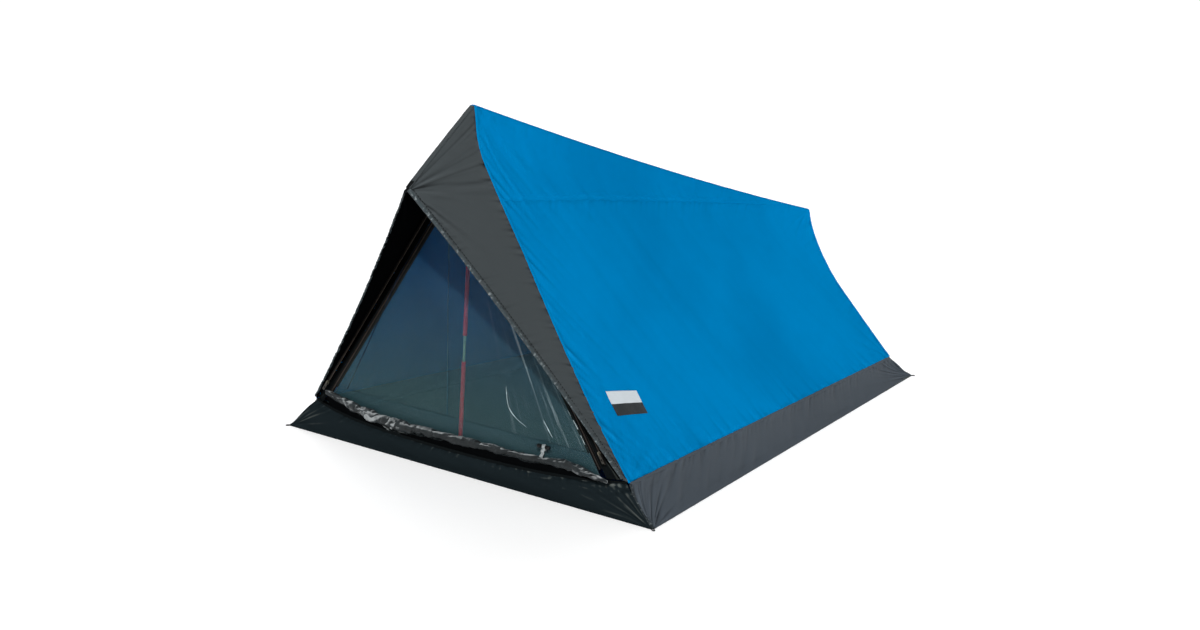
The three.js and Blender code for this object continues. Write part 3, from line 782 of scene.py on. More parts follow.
def hood_bump(seed):
    def bump(s, t):
        u, v = s / s.max(), t / t.max()
        width = hood_width(v)
        from_hem, from_seam = u * width, (1 - u) * width
        from_point = t.max() - t
        soft = 2.4 * MM * noise(from_hem / 0.12, t / 0.22, seed) * (1 - np.exp(-from_seam / 0.03))
        hem = 2.6 * MM * puckers(t, from_hem, seed + 1, 13 * MM, 18 * MM, 0.6)
        hem += 2.2 * MM * puckers(t, from_hem, seed + 4, 6 * MM, 10 * MM, 0.6)
        seam = 2.6 * MM * puckers(t, from_seam, seed + 2, 9 * MM, 16 * MM, -0.7)
        seam += 2.4 * MM * puckers(t, from_seam, seed + 7, 6 * MM, 9 * MM, -0.7)
        point = 3.4 * MM * fan(from_hem, from_point, seed + 3, 40, 12 * MM, 0.13)
        # long folds between the point and the upper part of the gable seam
        slope = from_point / np.maximum(from_hem, 1 * MM)
        rays = noise(slope * 26, 0.5, seed + 5) + 0.5 * noise(slope * 60, 0.5, seed + 6)
        above = np.clip((0.62 - slope) / 0.15, 0, 1) * np.clip(from_hem / 0.05, 0, 1)
        drawn = 2.0 * MM * rays * above * (0.35 + 0.65 * np.exp(-from_seam / 0.09))
        # one crease from the point to the gable seam, with a ridge under it
        crease = (slope - HOOD_CREASE * t.max() / HOOD_WIDTH) * np.maximum(from_hem, 20 * MM)
        fold = -1.7 * MM * np.exp(-(crease / (8 * MM)) ** 2)
        fold += 1.6 * MM * np.exp(-((crease - 15 * MM) / (12 * MM)) ** 2)
        fold *= np.clip(from_hem / 0.03, 0, 1)
        inner = 1 - np.exp(-from_seam / 0.012)
        return soft + hem + seam + (point + drawn + fold) * inner
    return bump


def stitches(name, line, normal, pitch, material, size=1.0):
    """A row of thread stitches along a line, each one a short raised bar."""
    along = unit(np.gradient(line, axis=0))
    distance = distances(line)
    at = np.arange(pitch, distance[-1] - pitch, pitch)
    normal = np.broadcast_to(normal, line.shape)
    centre, run, out = (np.stack([np.interp(at, distance, field[:, k]) for k in range(3)], 1)
                        for field in (line, along, normal))
    across = np.cross(out, run)
    w, l, h = 0.45 * MM * size, pitch * 0.3, 0.45 * MM * size
    ring = [(-w, 0.0), (-w * 0.6, h), (w * 0.6, h), (w, 0.0)]
    local = np.array([(x, y, z * 0.35 if abs(y) == l else z)
                      for y in (-l, -l * 0.5, l * 0.5, l) for x, z in ring])
    points = (centre[:, None] + across[:, None] * local[None, :, :1] + run[:, None] * local[None, :, 1:2]
              + out[:, None] * local[None, :, 2:])
    faces = []
    for k in range(len(at)):
        base = 16 * k
        for r in range(3):
            for c in range(4):
                d = (c + 1) % 4
                faces.append((base + 4 * r + c, base + 4 * r + d, base + 4 * r + 4 + d, base + 4 * r + 4 + c))
        faces.append((base + 3, base + 2, base + 1, base))
        faces.append((base + 12, base + 13, base + 14, base + 15))
    obj = new_object(name, points.reshape(-1, 3), faces, np.zeros((16 * len(at), 2)), [material])
    return finish_piece(obj)


v = np.linspace(0.002, 0.998, 420)
hem_line = hood_surface(np.full_like(v, 0.02), v)
hem_normal = normals_of(sampled(hood_surface, np.linspace(0, 0.1, 3), v))[:, 0]
hem_stitch_line = hood_surface(np.clip(14 * MM / hood_width(v), 0, 0.8), v) + hem_normal * 2.0 * MM
roof_normal = normals_of(sampled(roof_surface, np.linspace(0, 0.05, 3), np.linspace(1, 0, 420)))[:, 0]
seam_line = on_rail(GABLE, np.linspace(0, 1, 420)) - roof_normal * SEAM_LIFT
stitch_line = seam_line + np.array([0, 5.5 * MM, 0]) + roof_normal * 0.4 * MM
for side, seed in (("right", 300), ("left", 400)):
    mirror = mirror_of(side)
    sheet(f"hood_cloth_{side}", hood_surface, 110, 420, ["hood", "painted_shade_black"], "hood_cloth",
          [f"hood_{side}"], "stretched", ["front_pole_pocket"], hood_bump(seed), side == "left")
    sweep(f"hood_hem_fold_{side}", hem_line * mirror, hem_normal * mirror, flat_section(9 * MM, 2.6 * MM),
          ["hood_hem"], replaces=[f"hood_hem_{side}"],
          wobble=puckered(seed + 50, 1.1 * MM, 8 * MM, 0.16))
    sweep(f"gable_seam_{side}", seam_line * mirror, -roof_normal * mirror, SEAM, ["roof"],
          wobble=puckered(seed + 60, 0.6 * MM, 10 * MM, 0.12))
    stitches(f"gable_stitches_{side}", stitch_line * mirror, -roof_normal * mirror, 5 * MM,
             "blue_thread")
    stitches(f"hem_stitches_{side}", hem_stitch_line * mirror, hem_normal * mirror, 8 * MM,
             "dark_thread", size=1.9)

hood_ridge = rail(vertices("hood_ridge_tape"), 1, 15 * MM)
chord = lerp(hood_ridge[0], hood_ridge[-1], np.linspace(0, 1, len(hood_ridge))[:, None])
hood_ridge = lerp(chord, hood_ridge, 0.3)
sweep("hood_ridge_binding", on_rail(hood_ridge, np.linspace(0, 1, 60)), (0, -0.5, 1),
      flat_section(14 * MM, 2.2 * MM), ["hood"], replaces=["hood_ridge_tape"],
      wobble=puckered(41, 0.3 * MM, 12 * MM, 0.08))

# ---- ground bands and sill


def band_surface(u, v):
    """The right ground band: u from front to rear, v from the ground up to the roof seam."""
    return lerp(on_rail(BAND_FRONT, 1 - v), on_rail(BAND_REAR, 1 - v), u[..., None])


def band_bump(seed):
    def bump(s, t):
        length, height = s.max(), t.max()
        down = height - t
        seam = 2.0 * MM * puckers(s, down, seed, 34 * MM, 34 * MM, 1.4)
        seam += 1.1 * MM * puckers(s, down, seed + 5, 13 * MM, 12 * MM, 0.9)
        soft = 2.6 * MM * noise(s / 0.16 + t / 0.12, t / 0.09, seed + 1)
        drawn = 2.8 * MM * noise((s - 1.8 * t) / 0.05, t / 0.15, seed + 2) * np.exp(-s / 0.7)
        inside = np.clip(np.minimum(t, down) / (22 * MM), 0, 1)
        near_foot = np.clip(t / (7 * MM), 0, 1)
        front = 2.6 * MM * fan(s, t, seed + 3, 58, 9 * MM, 0.11)
        front += 2.4 * MM * fan(s, t, seed + 6, 26, 12 * MM, 0.16)
        rear = 3.6 * MM * fan(length - s, t, seed + 4, 40, 12 * MM, 0.13)
        return seam + (soft + drawn) * inside + (front + rear) * near_foot * np.clip(down / (9 * MM), 0, 1)
    return bump


def sill_surface(u, v):
    """The front sill: u from left to right, v from the ground up."""
    return lerp(on_rail(SILL_FOOT, u), on_rail(SILL_TOP, u), v[..., None])


def sill_bump(s, t):
    width, height = s.max(), t.max()
    belly = 5 * MM * np.sin(math.pi * t / height) ** 2
    soft = 2.6 * MM * noise(s / 0.2, t / 0.07, 501) + 1.4 * MM * noise((s + 1.5 * t) / 0.06, t / 0.09, 502)
    top = 2.2 * MM * puckers(s, height - t, 503, 15 * MM, 16 * MM, 0.6)
    right = 5 * MM * facets(s / 0.028, t / 0.010, 506) * np.clip((s / width - 0.66) / 0.2, 0, 1)
    right *= np.exp(-(height - t) / 0.018)
    ends = 1.3 * MM * fan(s, t, 504, 30, 12 * MM, 0.14) + 2.4 * MM * fan(width - s, t, 505, 30, 12 * MM, 0.14)
    inside = np.clip(np.minimum(t, height - t) / (18 * MM), 0, 1)
    return belly + (soft + ends) * inside + top + right * np.clip((height - t) / (5 * MM), 0, 1)


grid = sampled(band_surface, np.linspace(0, 1, 400), np.linspace(0.9, 1, 3))
corner = on_rail(BAND_FRONT, np.linspace(0, 1, 60))
for side, seed in (("right", 600), ("left", 700)):
    mirror = mirror_of(side)
    sheet(f"ground_band_cloth_{side}", band_surface, 560, 56, ["band"], "band_cloth",
          [f"ground_band_{side}"], "stretched", [f"roof_{side}"], band_bump(seed), side == "left")
    sweep(f"band_seam_{side}", grid[-1] * mirror, normals_of(grid)[-1] * mirror, flat_section(8 * MM, 2 * MM),
          ["band"], wobble=puckered(seed + 20, 1.1 * MM, 15 * MM, 0.2))
    sweep(f"corner_seam_{side}", corner * mirror, np.array([0.6, -0.7, 0.4]) * mirror,
          flat_section(7 * MM, 2.2 * MM), ["sill_seam"],
          wobble=puckered(seed + 30, 0.9 * MM, 8 * MM, 0.2))

sheet("front_sill_cloth", sill_surface, 520, 50, ["sill"], "sill_cloth", ["front_sill"], "stretched",
      ["groundsheet"], sill_bump)
sill_line = on_rail(SILL_TOP, np.linspace(0, 1, 400))
sweep("sill_binding", sill_line, (0, -1, 0.3), flat_section(7 * MM, 2.6 * MM), ["black"],
      wobble=puckered(511, 0.7 * MM, 10 * MM, 0.15))


def rear_band_surface(u, v):
    """The rear band: u from right to left as seen from the front, v from the ground up."""
    point = lerp(on_rail(REAR_BAND_FOOT, 1 - u), on_rail(REAR_BAND_TOP, 1 - u), v[..., None])
    point[..., 2] -= 4 * MM * 4 * v * (1 - v)
    return point


sheet("rear_band_cloth", rear_band_surface, 220, 24, ["band"], "band_cloth", ["rear_band"], "stretched",
      ["groundsheet"], band_bump(800))

# ---- door, jambs and netting


JAMB_CLEARANCE = 1.2 * MM  # between the jamb cloth's outer edge and the gable seam


def jamb_surface(u, v):
    """The right jamb cloth: u from the zip out to the gable seam, v from the foot up."""
    outer = on_rail(JAMB_OUTER, 1 - v)
    seam = on_rail(GABLE, np.linspace(1, 0, 300))
    outer[..., 0] = np.interp(outer[..., 2], seam[:, 2], seam[:, 0]) - JAMB_CLEARANCE
    return lerp(on_rail(JAMB_INNER, 1 - v), outer, u[..., None])


def jamb_bump(seed):
    def bump(s, t):
        inside = np.sin(math.pi * s / s.max())
        low = np.exp(-t / 0.10)
        crumpled = 3.6 * MM * facets(s / 0.009 + t / 0.04, t / 0.045 - s / 0.05, seed + 1) * low
        return (2.0 * MM * noise(s / 0.03 + t / 0.1, t / 0.12, seed) + crumpled) * inside
    return bump


for side, seed in (("right", 900), ("left", 950)):
    sheet(f"door_jamb_cloth_{side}", jamb_surface, 36, 320, ["black"], "dark_cloth", [f"door_jamb_{side}"],
          "stretched", ["front_sill"], jamb_bump(seed), side == "left")


def door_corner(points, sign):
    return points[points[:, 0] * sign > 0].mean(0)


def door_surface(u, v):
    """The netting door: u from left to right, v from its foot up."""
    left_edge, right_edge = (lerp(door_corner(door_foot, sign), door_corner(door_head, sign), v[..., None])
                             for sign in (-1, 1))
    return lerp(left_edge, right_edge, u[..., None])


DOOR_HALF = 0.42  # half the door's width at its foot


def door_bump(s, t):
    u, v = s / s.max(), t / t.max()
    half = DOOR_HALF * (1 - v)
    x, z = (2 * u - 1) * half, t
    edge = np.minimum(np.minimum(u, 1 - u) * 2 * half, np.minimum(t, t.max() - t))
    inside = 1 - np.exp(-edge / 0.03)
    slack = 4 * MM * noise(x / 0.3, z / 0.3, 1001)
    right = 3.2 * MM * fan(half.max() - x, z, 1002, 44, 15 * MM, 0.22)
    side_folds = 1.5 * MM * noise((x + 0.66 * z) / 0.03, z / 0.2, 1003) * np.exp(-(half - x) / 0.12)
    low_folds = 2.0 * MM * noise(x / 0.035 + z / 0.1, z / 0.12, 1004) * np.exp(-z / 0.09)
    return (slack + right + side_folds + low_folds) * inside


sheet("mesh_door_net", door_surface, 180, 160, ["net"], "mesh_net", ["mesh_door"], "stretched",
      ["mesh_zip_right", "mesh_zip_left"], door_bump, body="mesh_door", thickness=NET_THICKNESS)


def on_door(x, z, lift):
    """A point on the netting door's plane, lifted off its outer face."""
    foot, head = (line.mean(0) for line in (door_foot, door_head))
    share = (z - foot[2]) / (head[2] - foot[2])
    return np.stack([x, lerp(foot[1], head[1], share) - lift, z], -1)


def door_line(name, start, end, width, material, lift=1.6 * MM, waver=1.5 * MM, seed=1010):
    """A narrow tape on the netting door between two (x, z) points."""
    t = np.linspace(0, 1, 120)
    x = lerp(start[0], end[0], t) + waver * noise(t * 6, 0.5, seed)
    line = on_door(x, lerp(start[1], end[1], t), lift)
    sweep(name, line, (0, -1, 0.1), flat_section(width, 0.8 * MM), [material], body="mesh_door",
          wobble=puckered(seed + 1, 0.3 * MM, 14 * MM, 0.12))


door_line("door_centre_seam", (-0.040, DOOR_HIGH - 0.03), (-0.030, DOOR_LOW + 4 * MM), 3 * MM, "net_seam")
# a narrow dark line across the netting, down towards its left foot
door_line("door_dark_line", (-0.187, 0.513), (-0.372, DOOR_LOW + 2 * MM), 2.4 * MM, "net_line", seed=1020)
for side, sign in (("right", 1), ("left", -1)):
    foot_x, head_x = (door_corner(line, sign)[0] - sign * 3 * MM for line in (door_foot, door_head))
    door_line(f"door_edge_binding_{side}", (foot_x, DOOR_LOW + 1 * MM), (head_x, DOOR_HIGH - 1 * MM),
              5 * MM, "door_binding", waver=0.6 * MM, seed=1030 + sign)


def painted_glint(name, points, width):
    """A pale strip on the door's netting through (x, z) points: a painted glint along a crease."""
    x, z = on_rail(np.array(points), np.linspace(0, 1, 60)).T

    def wobble(offsets, distance):
        share = distance / distance[-1]
        swell = np.sin(math.pi * share) ** 0.7 * (0.7 + 0.5 * noise(share * 9, 0.5, 1041))
        offsets[..., 0] *= (swell + 0.05)[:, None]
        return offsets

    sweep(name, on_door(x, z, 1.8 * MM), (0, -1, 0.1), flat_section(width, 0.4 * MM), ["painted_glint"],
          body="mesh_door", wobble=wobble)


painted_glint("net_crease_middle", [(0.154, 0.267), (0.163, 0.220), (0.186, 0.194), (0.223, 0.175)], 2.2 * MM)
painted_glint("net_crease_low", [(0.272, 0.204), (0.287, 0.184), (0.302, 0.165)], 2.6 * MM)
painted_glint("net_crease_right", [(0.342, 0.245), (0.368, 0.213), (0.390, 0.180), (0.402, 0.162)], 3.0 * MM)


def strip_surface(u, v):
    """The netting below the door, up to a hair's breadth under the door's foot."""
    head = on_rail(STRIP_HEAD, u)
    head[..., 2] = DOOR_LOW - 0.1 * MM
    return lerp(on_rail(STRIP_FOOT, u), head, v[..., None])


sheet("mesh_strip_net", strip_surface, 120, 16, ["strip_net"], "mesh_net", ["mesh_strip"], "stretched",
      ["front_sill"], thickness=NET_THICKNESS)

# ---- zips


def zip_frame(node):
    """The middle line of a zip's bar from its foot to its head, and the way it faces."""
    points = vertices(node)
    order = np.argsort(points[:, 2])
    foot, head = points[order[:4]].mean(0), points[order[-4:]].mean(0)
    along = unit(head - foot)
    out = np.array([0, -along[2], along[1]])
    if out[1] > 0:
        out = -out
    return foot, head, unit(out - out @ along * along)


TOOTH_PITCH = 2.2 * MM
TAPE_WIDTH = 5 * MM


def blocks(name, centres, axes, size, material):
    """Many small blocks with bevelled ends, as one mesh: axes holds (across, along, out) for all of them."""
    w, l, h = (d / 2 for d in size)
    ring = [(-w, -h), (w, -h), (w, h * 0.4), (w * 0.6, h), (-w * 0.6, h), (-w, h * 0.4)]
    local = np.array([(x, y, z) for y in (-l, l) for x, z in ring])
    shape = local @ np.array(axes)
    count = len(ring)
    points = (centres[:, None] + shape[None]).reshape(-1, 3)
    faces = []
    for k in range(len(centres)):
        base = k * 2 * count
        for a in range(count):
            b = (a + 1) % count
            faces.append((base + a, base + count + a, base + count + b, base + b))
        faces.append(tuple(base + a for a in range(count)))
        faces.append(tuple(base + count + a for a in range(count))[::-1])
    return new_object(name, points, faces, np.zeros((len(points), 2)), [material], smooth=False)


def zip_piece(node, single):
    """Tape and coil of one zip. A single zip has only the half that stays on the jamb."""
    foot, head, out = zip_frame(node)
    side = 1 if foot[0] > 0 else -1
    along = unit(head - foot)
    across = np.cross(out, along)
    across *= np.sign(across[0]) * side
    path = np.linspace(foot, head, 60)
    for sign in [1] if single else [1, -1]:
        label = node if single else f"{node}_{'outer' if sign > 0 else 'inner'}"
        line = path + across * sign * (1.1 * MM + TAPE_WIDTH / 2) * (0.8 if single else 1)
        sweep(f"{label}_tape", line, out, flat_section(TAPE_WIDTH, 0.9 * MM), ["zip_tape"],
              replaces=[node] if sign > 0 else [])
    count = int(np.linalg.norm(head - foot) / TOOTH_PITCH)
    t = (np.arange(count) + 0.5) / count
    centres = foot + (head - foot) * t[:, None]
    if not single:
        centres = centres + across * np.where(np.arange(count) % 2, 0.5, -0.5)[:, None] * MM
    teeth = blocks(f"{node}_coil", centres + out * 0.25 * MM, (across, along, out),
                   (3.2 * MM, 1.5 * MM, 1.1 * MM), "zip_teeth")
    finish_piece(teeth)


for side in ("right", "left"):
    zip_piece(f"mesh_zip_{side}", False)
    zip_piece(f"storm_zip_{side}", True)

# ---- storm door, let down along the sill


BUNCH_TURNS = 5.4
BUNCH_FOOT = 0.06  # the share of the storm door that stands between the sill and the bunch
# how full the bunch is along its length, from 0 to 1 across the door
BUNCH_AT = (0.0, 0.07, 0.16, 0.27, 0.36, 0.48, 0.62, 0.74, 0.88, 0.96, 1.0)
BUNCH_FULLNESS = (0.35, 0.72, 0.95, 1.10, 0.86, 0.66, 0.62, 0.56, 0.74, 0.72, 0.30)
# how much of its face takes painted highlight, against its top alone
BUNCH_HIGHLIGHT = (0.55, 0.80, 1.00, 0.85, 0.22, 0.10, 0.10, 0.14, 0.30, 0.50, 0.50)
BUNCH_REACH = (26 * MM, 60 * MM)  # how far its ends run on past the CAD bunch, left and right
BUNCH_HALF_HEIGHT = 20 * MM
BUNCH_HALF_DEPTH = 9 * MM


def bunch_points(columns, rows):
    """The storm door, sewn to the sill's top edge and gathered above it in crumpled turns."""
    u, v = np.meshgrid(np.linspace(0, 1, columns + 1), np.linspace(0, 1, rows + 1))
    path = on_rail(BUNCH, u)
    left_end, right_end = BUNCH_REACH
    past_right = np.clip((u - 0.9) / 0.1, 0, 1) ** 2
    past_left = np.clip((0.1 - u) / 0.1, 0, 1) ** 2
    x = path[..., 0] + right_end * past_right - left_end * past_left
    centre_z = path[..., 2] - 30 * MM * past_right
    full = np.interp(u, BUNCH_AT, BUNCH_FULLNESS)
    roll = np.clip((v - BUNCH_FOOT) / (1 - BUNCH_FOOT), 0, 1)
    layer = full * lerp(1, 0.45, roll)
    lumps = 1 + 0.22 * noise(x / 0.05, 0.5, 1102) + 0.14 * noise(x / 0.019, 0.5, 1103)
    angle = -0.5 * math.pi + 2 * math.pi * BUNCH_TURNS * roll + 0.5 * noise(x / 0.08, 0.5, 1101)
    depth = BUNCH_HALF_DEPTH * 0.85 * layer * lumps
    height = BUNCH_HALF_HEIGHT * 0.72 * layer * lumps
    round_y, round_z = np.cos(angle), np.sin(angle)
    arc = angle * 12 * MM
    twist = x + 0.6 * arc
    big = facets(twist / 0.036, arc / 0.026, 1104)
    middle = facets((x - 0.5 * arc) / 0.017, arc / 0.012, 1105)
    small = facets(twist / 0.0065, arc / 0.0055, 1106)
    shrink = np.clip(full / 0.8, 0.3, 1.15) * lerp(1, 0.6, roll)
    push = (6.5 * MM * big + 4.2 * MM * middle + 1.2 * MM * small) * shrink
    y = path[..., 1] + (depth + 0.65 * push) * round_y - 1.5 * MM
    z = centre_z + BUNCH_HALF_HEIGHT * (1 - full) * 0.75 + (height + push) * round_z
    spiral = np.stack([x + 4 * MM * big * shrink, y, z], 2)
    foot = np.clip(1 - v / BUNCH_FOOT, 0, 1)[..., None]
    sill = on_rail(SILL_TOP, np.clip((x - SILL_TOP[0, 0]) / (SILL_TOP[-1, 0] - SILL_TOP[0, 0]), 0, 1))
    sill = sill + np.array([0, 2.5 * MM, -3 * MM])
    # painted highlight: each flat facet is paled as much as it tilts, and hardly at all below the top of the
    # bunch; where there is little highlight the face is painted darker as shade
    tilt = np.gradient(0.9 * big + 0.5 * middle + 0.08 * small, axis=1)
    tilt += 0.4 * np.gradient(big + middle, axis=0)
    tilt /= tilt.std()
    top = np.clip((round_z - 0.30) / 0.35, 0, 1)
    highlight_share = np.maximum(np.interp(u, BUNCH_AT, BUNCH_HIGHLIGHT), top * 0.9)
    fold = (1.25 * (tilt + 0.15 + 0.65 * top) * highlight_share - 0.9 * (1 - highlight_share)) * (1 - foot[..., 0])
    return lerp(spiral, sill, foot), fold


def storm_bunch():
    columns, rows = 490, 195
    points, fold = bunch_points(columns, rows)
    uv = np.stack(np.meshgrid(np.linspace(0, 0.88, columns + 1), np.linspace(0, 0.3, rows + 1)), 2)
    obj = new_object("storm_door_cloth", points.reshape(-1, 3), grid_faces(rows + 1, columns + 1),
                     uv.reshape(-1, 2), ["storm", "painted_shade_black"])
    mark(obj, fold)
    # painted shadow: the foot between the sill and the bunch takes the near-black cloth
    shades = np.zeros(rows * columns, np.int32)
    shades[:int(BUNCH_FOOT * rows) * columns] = 1
    obj.data.polygons.foreach_set("material_index", shades)
    finish_piece(obj, "tent", ["storm_door_bunch"])


storm_bunch()

# ---- rear wall and vent

wall_points = vertices("rear_wall")
WALL_LOW, WALL_HIGH = wall_points[:, 2].min(), wall_points[:, 2].max()
WALL_LAP = 3 * MM  # how far the wall runs down behind the rear band
WALL_CLEARANCE = 0.2 * MM  # between the wall's edge and the rear gable seam


def wall_y(z):
    """The depth of the rear wall's middle plane at a height."""
    low = wall_points[wall_points[:, 2] < WALL_LOW + 3 * MM].mean(0)
    high = wall_points[wall_points[:, 2] > WALL_HIGH - 3 * MM].mean(0)
    return lerp(low[1], high[1], (z - low[2]) / (high[2] - low[2]))


def wall_half(z):
    """Half the rear wall's width at a height."""
    line = on_rail(REAR_GABLE, np.linspace(0, 1, 200))
    return np.interp(z, line[::-1, 2], line[::-1, 0]) - WALL_CLEARANCE


VENT_LOW, VENT_HIGH = (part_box("vent_mesh")[k].z for k in (0, 1))
vent_points = vertices("vent_mesh")
VENT_LOW_HALF = vent_points[:, 0].max()
VENT_HIGH_HALF = vent_points[vent_points[:, 2] > VENT_HIGH - 3 * MM][:, 0].max()


def vent_half(z):
    return np.interp(z, [VENT_LOW, VENT_HIGH], [VENT_LOW_HALF, VENT_HIGH_HALF])


VENT_SHARE = 0.3  # the share of the wall's columns that end at the vent
VENT_CALM = (0.11, 0.07)  # how far from the vent's middle, across and up, the wall has hardly any folds


def rear_wall():
    """The rear wall, cut out round the vent."""
    columns, rows = 120, 130
    u, v = np.meshgrid(np.linspace(0, 1, columns + 1), np.linspace(0, 1, rows + 1))
    z = lerp(WALL_LOW - WALL_LAP, WALL_HIGH, v)
    x = wall_half(z) * (1 - 2 * u)
    inside_rows = (z[:, 0] >= VENT_LOW) & (z[:, 0] <= VENT_HIGH)
    points = np.stack([x, wall_y(z), z], 2)
    area = grid_area(points) - (VENT_LOW_HALF + VENT_HIGH_HALF) * (VENT_HIGH - VENT_LOW)
    # the columns beside the vent are moved on to its edges
    for r in np.nonzero(inside_rows)[0]:
        half, wall = vent_half(z[r, 0]), wall_half(z[r, 0])
        share = np.abs(1 - 2 * u[r])
        outer = half + (wall - half) * (share - VENT_SHARE) / (1 - VENT_SHARE)
        inner = half * share / VENT_SHARE
        points[r, :, 0] = np.sign(1 - 2 * u[r]) * np.where(share < VENT_SHARE, inner, outer)
    edge = np.minimum(wall_half(z) - np.abs(x), np.minimum(z - WALL_LOW, WALL_HIGH - z))
    inside = 1 - np.exp(-np.maximum(edge, 0) / 0.03)
    near_vent = (np.abs(x) < VENT_CALM[0]) & (np.abs(z - (VENT_LOW + VENT_HIGH) / 2) < VENT_CALM[1])
    calm = np.where(near_vent, 0.15, 1)
    bump = 2.0 * MM * noise(x / 0.12, z / 0.16, 1201)
    bump += 1.2 * MM * noise((x + z) / 0.04, (x - z) / 0.3, 1202)
    bump += 2.2 * MM * puckers(z, np.maximum(edge, 0), 1203, 20 * MM, 30 * MM, 0.5)
    bump *= inside * calm
    points[..., 1] += bump
    faces = []
    flat_points = points.reshape(-1, 3)
    for face in grid_faces(rows + 1, columns + 1):
        centre = flat_points[list(face)].mean(0)
        if not (VENT_LOW < centre[2] < VENT_HIGH and abs(centre[0]) < vent_half(centre[2])):
            faces.append(face)
    uv = np.stack([x + 0.4, z], 2).reshape(-1, 2)
    obj = new_object("rear_wall_cloth", flat_points, faces, uv, ["hood"])
    mark_folds(obj, bump, 4)
    thicken(obj)
    finish_piece(obj, "tent", ["rear_wall"])
    flat = (2 * float(wall_half(WALL_LOW)), float(WALL_HIGH - WALL_LOW))
    area = min(float(area), flat[0] * flat[1])


rear_wall()
sweep("rear_wall_seam", on_rail(REAR_BAND_TOP, np.linspace(0, 1, 240)), (0, 1, 0.2), SEAM, ["band"],
      wobble=puckered(1205, 0.5 * MM, 14 * MM, 0.12))
outward = -normals_of(sampled(roof_surface, np.linspace(0.95, 1, 3), np.linspace(1, 0, 240)))[:, -1]
line = on_rail(REAR_GABLE, np.linspace(0, 1, 240)) + outward * SEAM_LIFT
stitch_line = line - np.array([0, 6 * MM, 0]) - outward * 0.4 * MM
for side, sign in (("right", 1), ("left", -1)):
    mirror = mirror_of(side)
    sweep(f"rear_gable_seam_{side}", line * mirror, outward * mirror, SEAM, ["roof"],
          wobble=puckered(1210 + sign, 0.5 * MM, 12 * MM, 0.12))
    stitches(f"rear_gable_stitches_{side}", stitch_line * mirror, outward * mirror, 5 * MM,
             "blue_thread")


def vent_surface(outward, margin):
    """A sheet over the vent, a distance outside the wall and a margin larger than the hole."""
    def surface(u, v):
        z = lerp(VENT_LOW - margin, VENT_HIGH + margin, v)
        half = vent_half(z) + margin
        return np.stack([half * (1 - 2 * u), wall_y(z) + outward, z], -1)
    return surface


flap_centre = box_centre("vent_flap")
flap_margin = VENT_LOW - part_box("vent_flap")[0].z
flap_outward = float(flap_centre[1] - wall_y(flap_centre[2]))
sheet("vent_net", vent_surface(0, 0.5 * MM), 60, 50, ["vent_net"], "mesh_net", ["vent_mesh"], "stretched",
      ["rear_wall"], thickness=NET_THICKNESS)


def flap_bump(s, t):
    return 0.5 * MM * noise(s / 0.03, t / 0.04, 1301) + hemmed(s, t, 0.5 * MM, 6 * MM, 2 * MM)


sheet("vent_flap_cloth", vent_surface(flap_outward, flap_margin), 80, 70, ["band"], "band_cloth",
      ["vent_flap"], "hung", ["rear_wall"], flap_bump, body="vent_flap")
# the flap's free edge in shares of its width and height, from one end of its hinge round to the other
flap_edge = [(0.02, 0.96), (0.01, 0.5), (0.01, 0.04), (0.04, 0.01), (0.5, 0.01), (0.96, 0.01), (0.99, 0.04),
             (0.99, 0.5), (0.98, 0.96)]
flap_face = vent_surface(flap_outward + 0.9 * MM, flap_margin)
edge_points = np.array([flap_face(*np.array(at)) for at in flap_edge])
steps = distances(edge_points)
at = np.linspace(0, steps[-1], 160)
flap_line = np.stack([np.interp(at, steps, edge_points[:, k]) for k in range(3)], 1)
sweep("vent_flap_binding", flap_line, (0, 1, 0.2), flat_section(7 * MM, 1.6 * MM), ["webbing"],
      body="vent_flap", wobble=puckered(1310, 0.2 * MM, 10 * MM, 0.08))

# ---- floor


FLOOR_MARGIN = 1.5 * MM  # from the ground bands' feet in to the edge of the groundsheet


def floor_surface(u, v):
    """The groundsheet, welded to the feet of the bands all round."""
    low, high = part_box("groundsheet")
    front, rear = BAND_FRONT[-1], BAND_REAR[-1]
    half = lerp(front[0], rear[0], v) - FLOOR_MARGIN
    y = lerp(SILL_FOOT[:, 1].mean(), REAR_BAND_FOOT[:, 1].mean(), v)
    edge = np.minimum(1 - np.abs(2 * u - 1), 0.02) / 0.02
    return np.stack([half * (2 * u - 1), y, lerp(low.z + 0.5 * MM, high.z, edge)], -1)


def floor_bump(s, t):
    broad, fine = noise(s / 0.18, t / 0.25, 1401), noise(s / 0.05, t / 0.07, 1402)
    return 0.9 * MM * np.abs(broad) + 0.6 * MM * np.abs(fine)


sheet("groundsheet_cloth", floor_surface, 110, 170, ["floor"], "groundsheet_cloth", ["groundsheet"], "laid",
      ["groundsheet"], floor_bump)

# ---- label patch


label_low, label_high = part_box("label_patch")
LABEL_ALONG = (label_low.y - 18 * MM, label_high.y - 5 * MM)
LABEL_UP = (label_low.z + 9 * MM, label_high.z + 17 * MM)
LABEL_FIELD = 0.46  # the share of the patch's height that its dark field takes
LABEL_SLANT = 0.018  # how much lower its rear edge sits, as a share of the roof's height


def on_right_roof(share_along, share_up, lift):
    """Points a little above the right roof cloth, folds and all."""
    points = roof_surface(share_along, share_up)
    height = roof_bump(100)(share_along * ROOF_LENGTH, share_up * ROOF_HEIGHT)
    return points + normals_of(points) * (height + lift)[..., None]


def label_surface(u, v, lift=1.5 * MM):
    along = (lerp(*LABEL_ALONG, u) - roof_front) / (roof_rear - roof_front)
    heights = roof_surface(np.full(200, float(along.mean())), np.linspace(0, 1, 200))[:, 2]
    up = np.interp(lerp(*LABEL_UP, v), heights, np.linspace(0, 1, 200))
    return on_right_roof(along, up - LABEL_SLANT * u, lift)


def label_bump(s, t):
    return hemmed(s, t, 0.35 * MM, 2.5 * MM, 1 * MM)


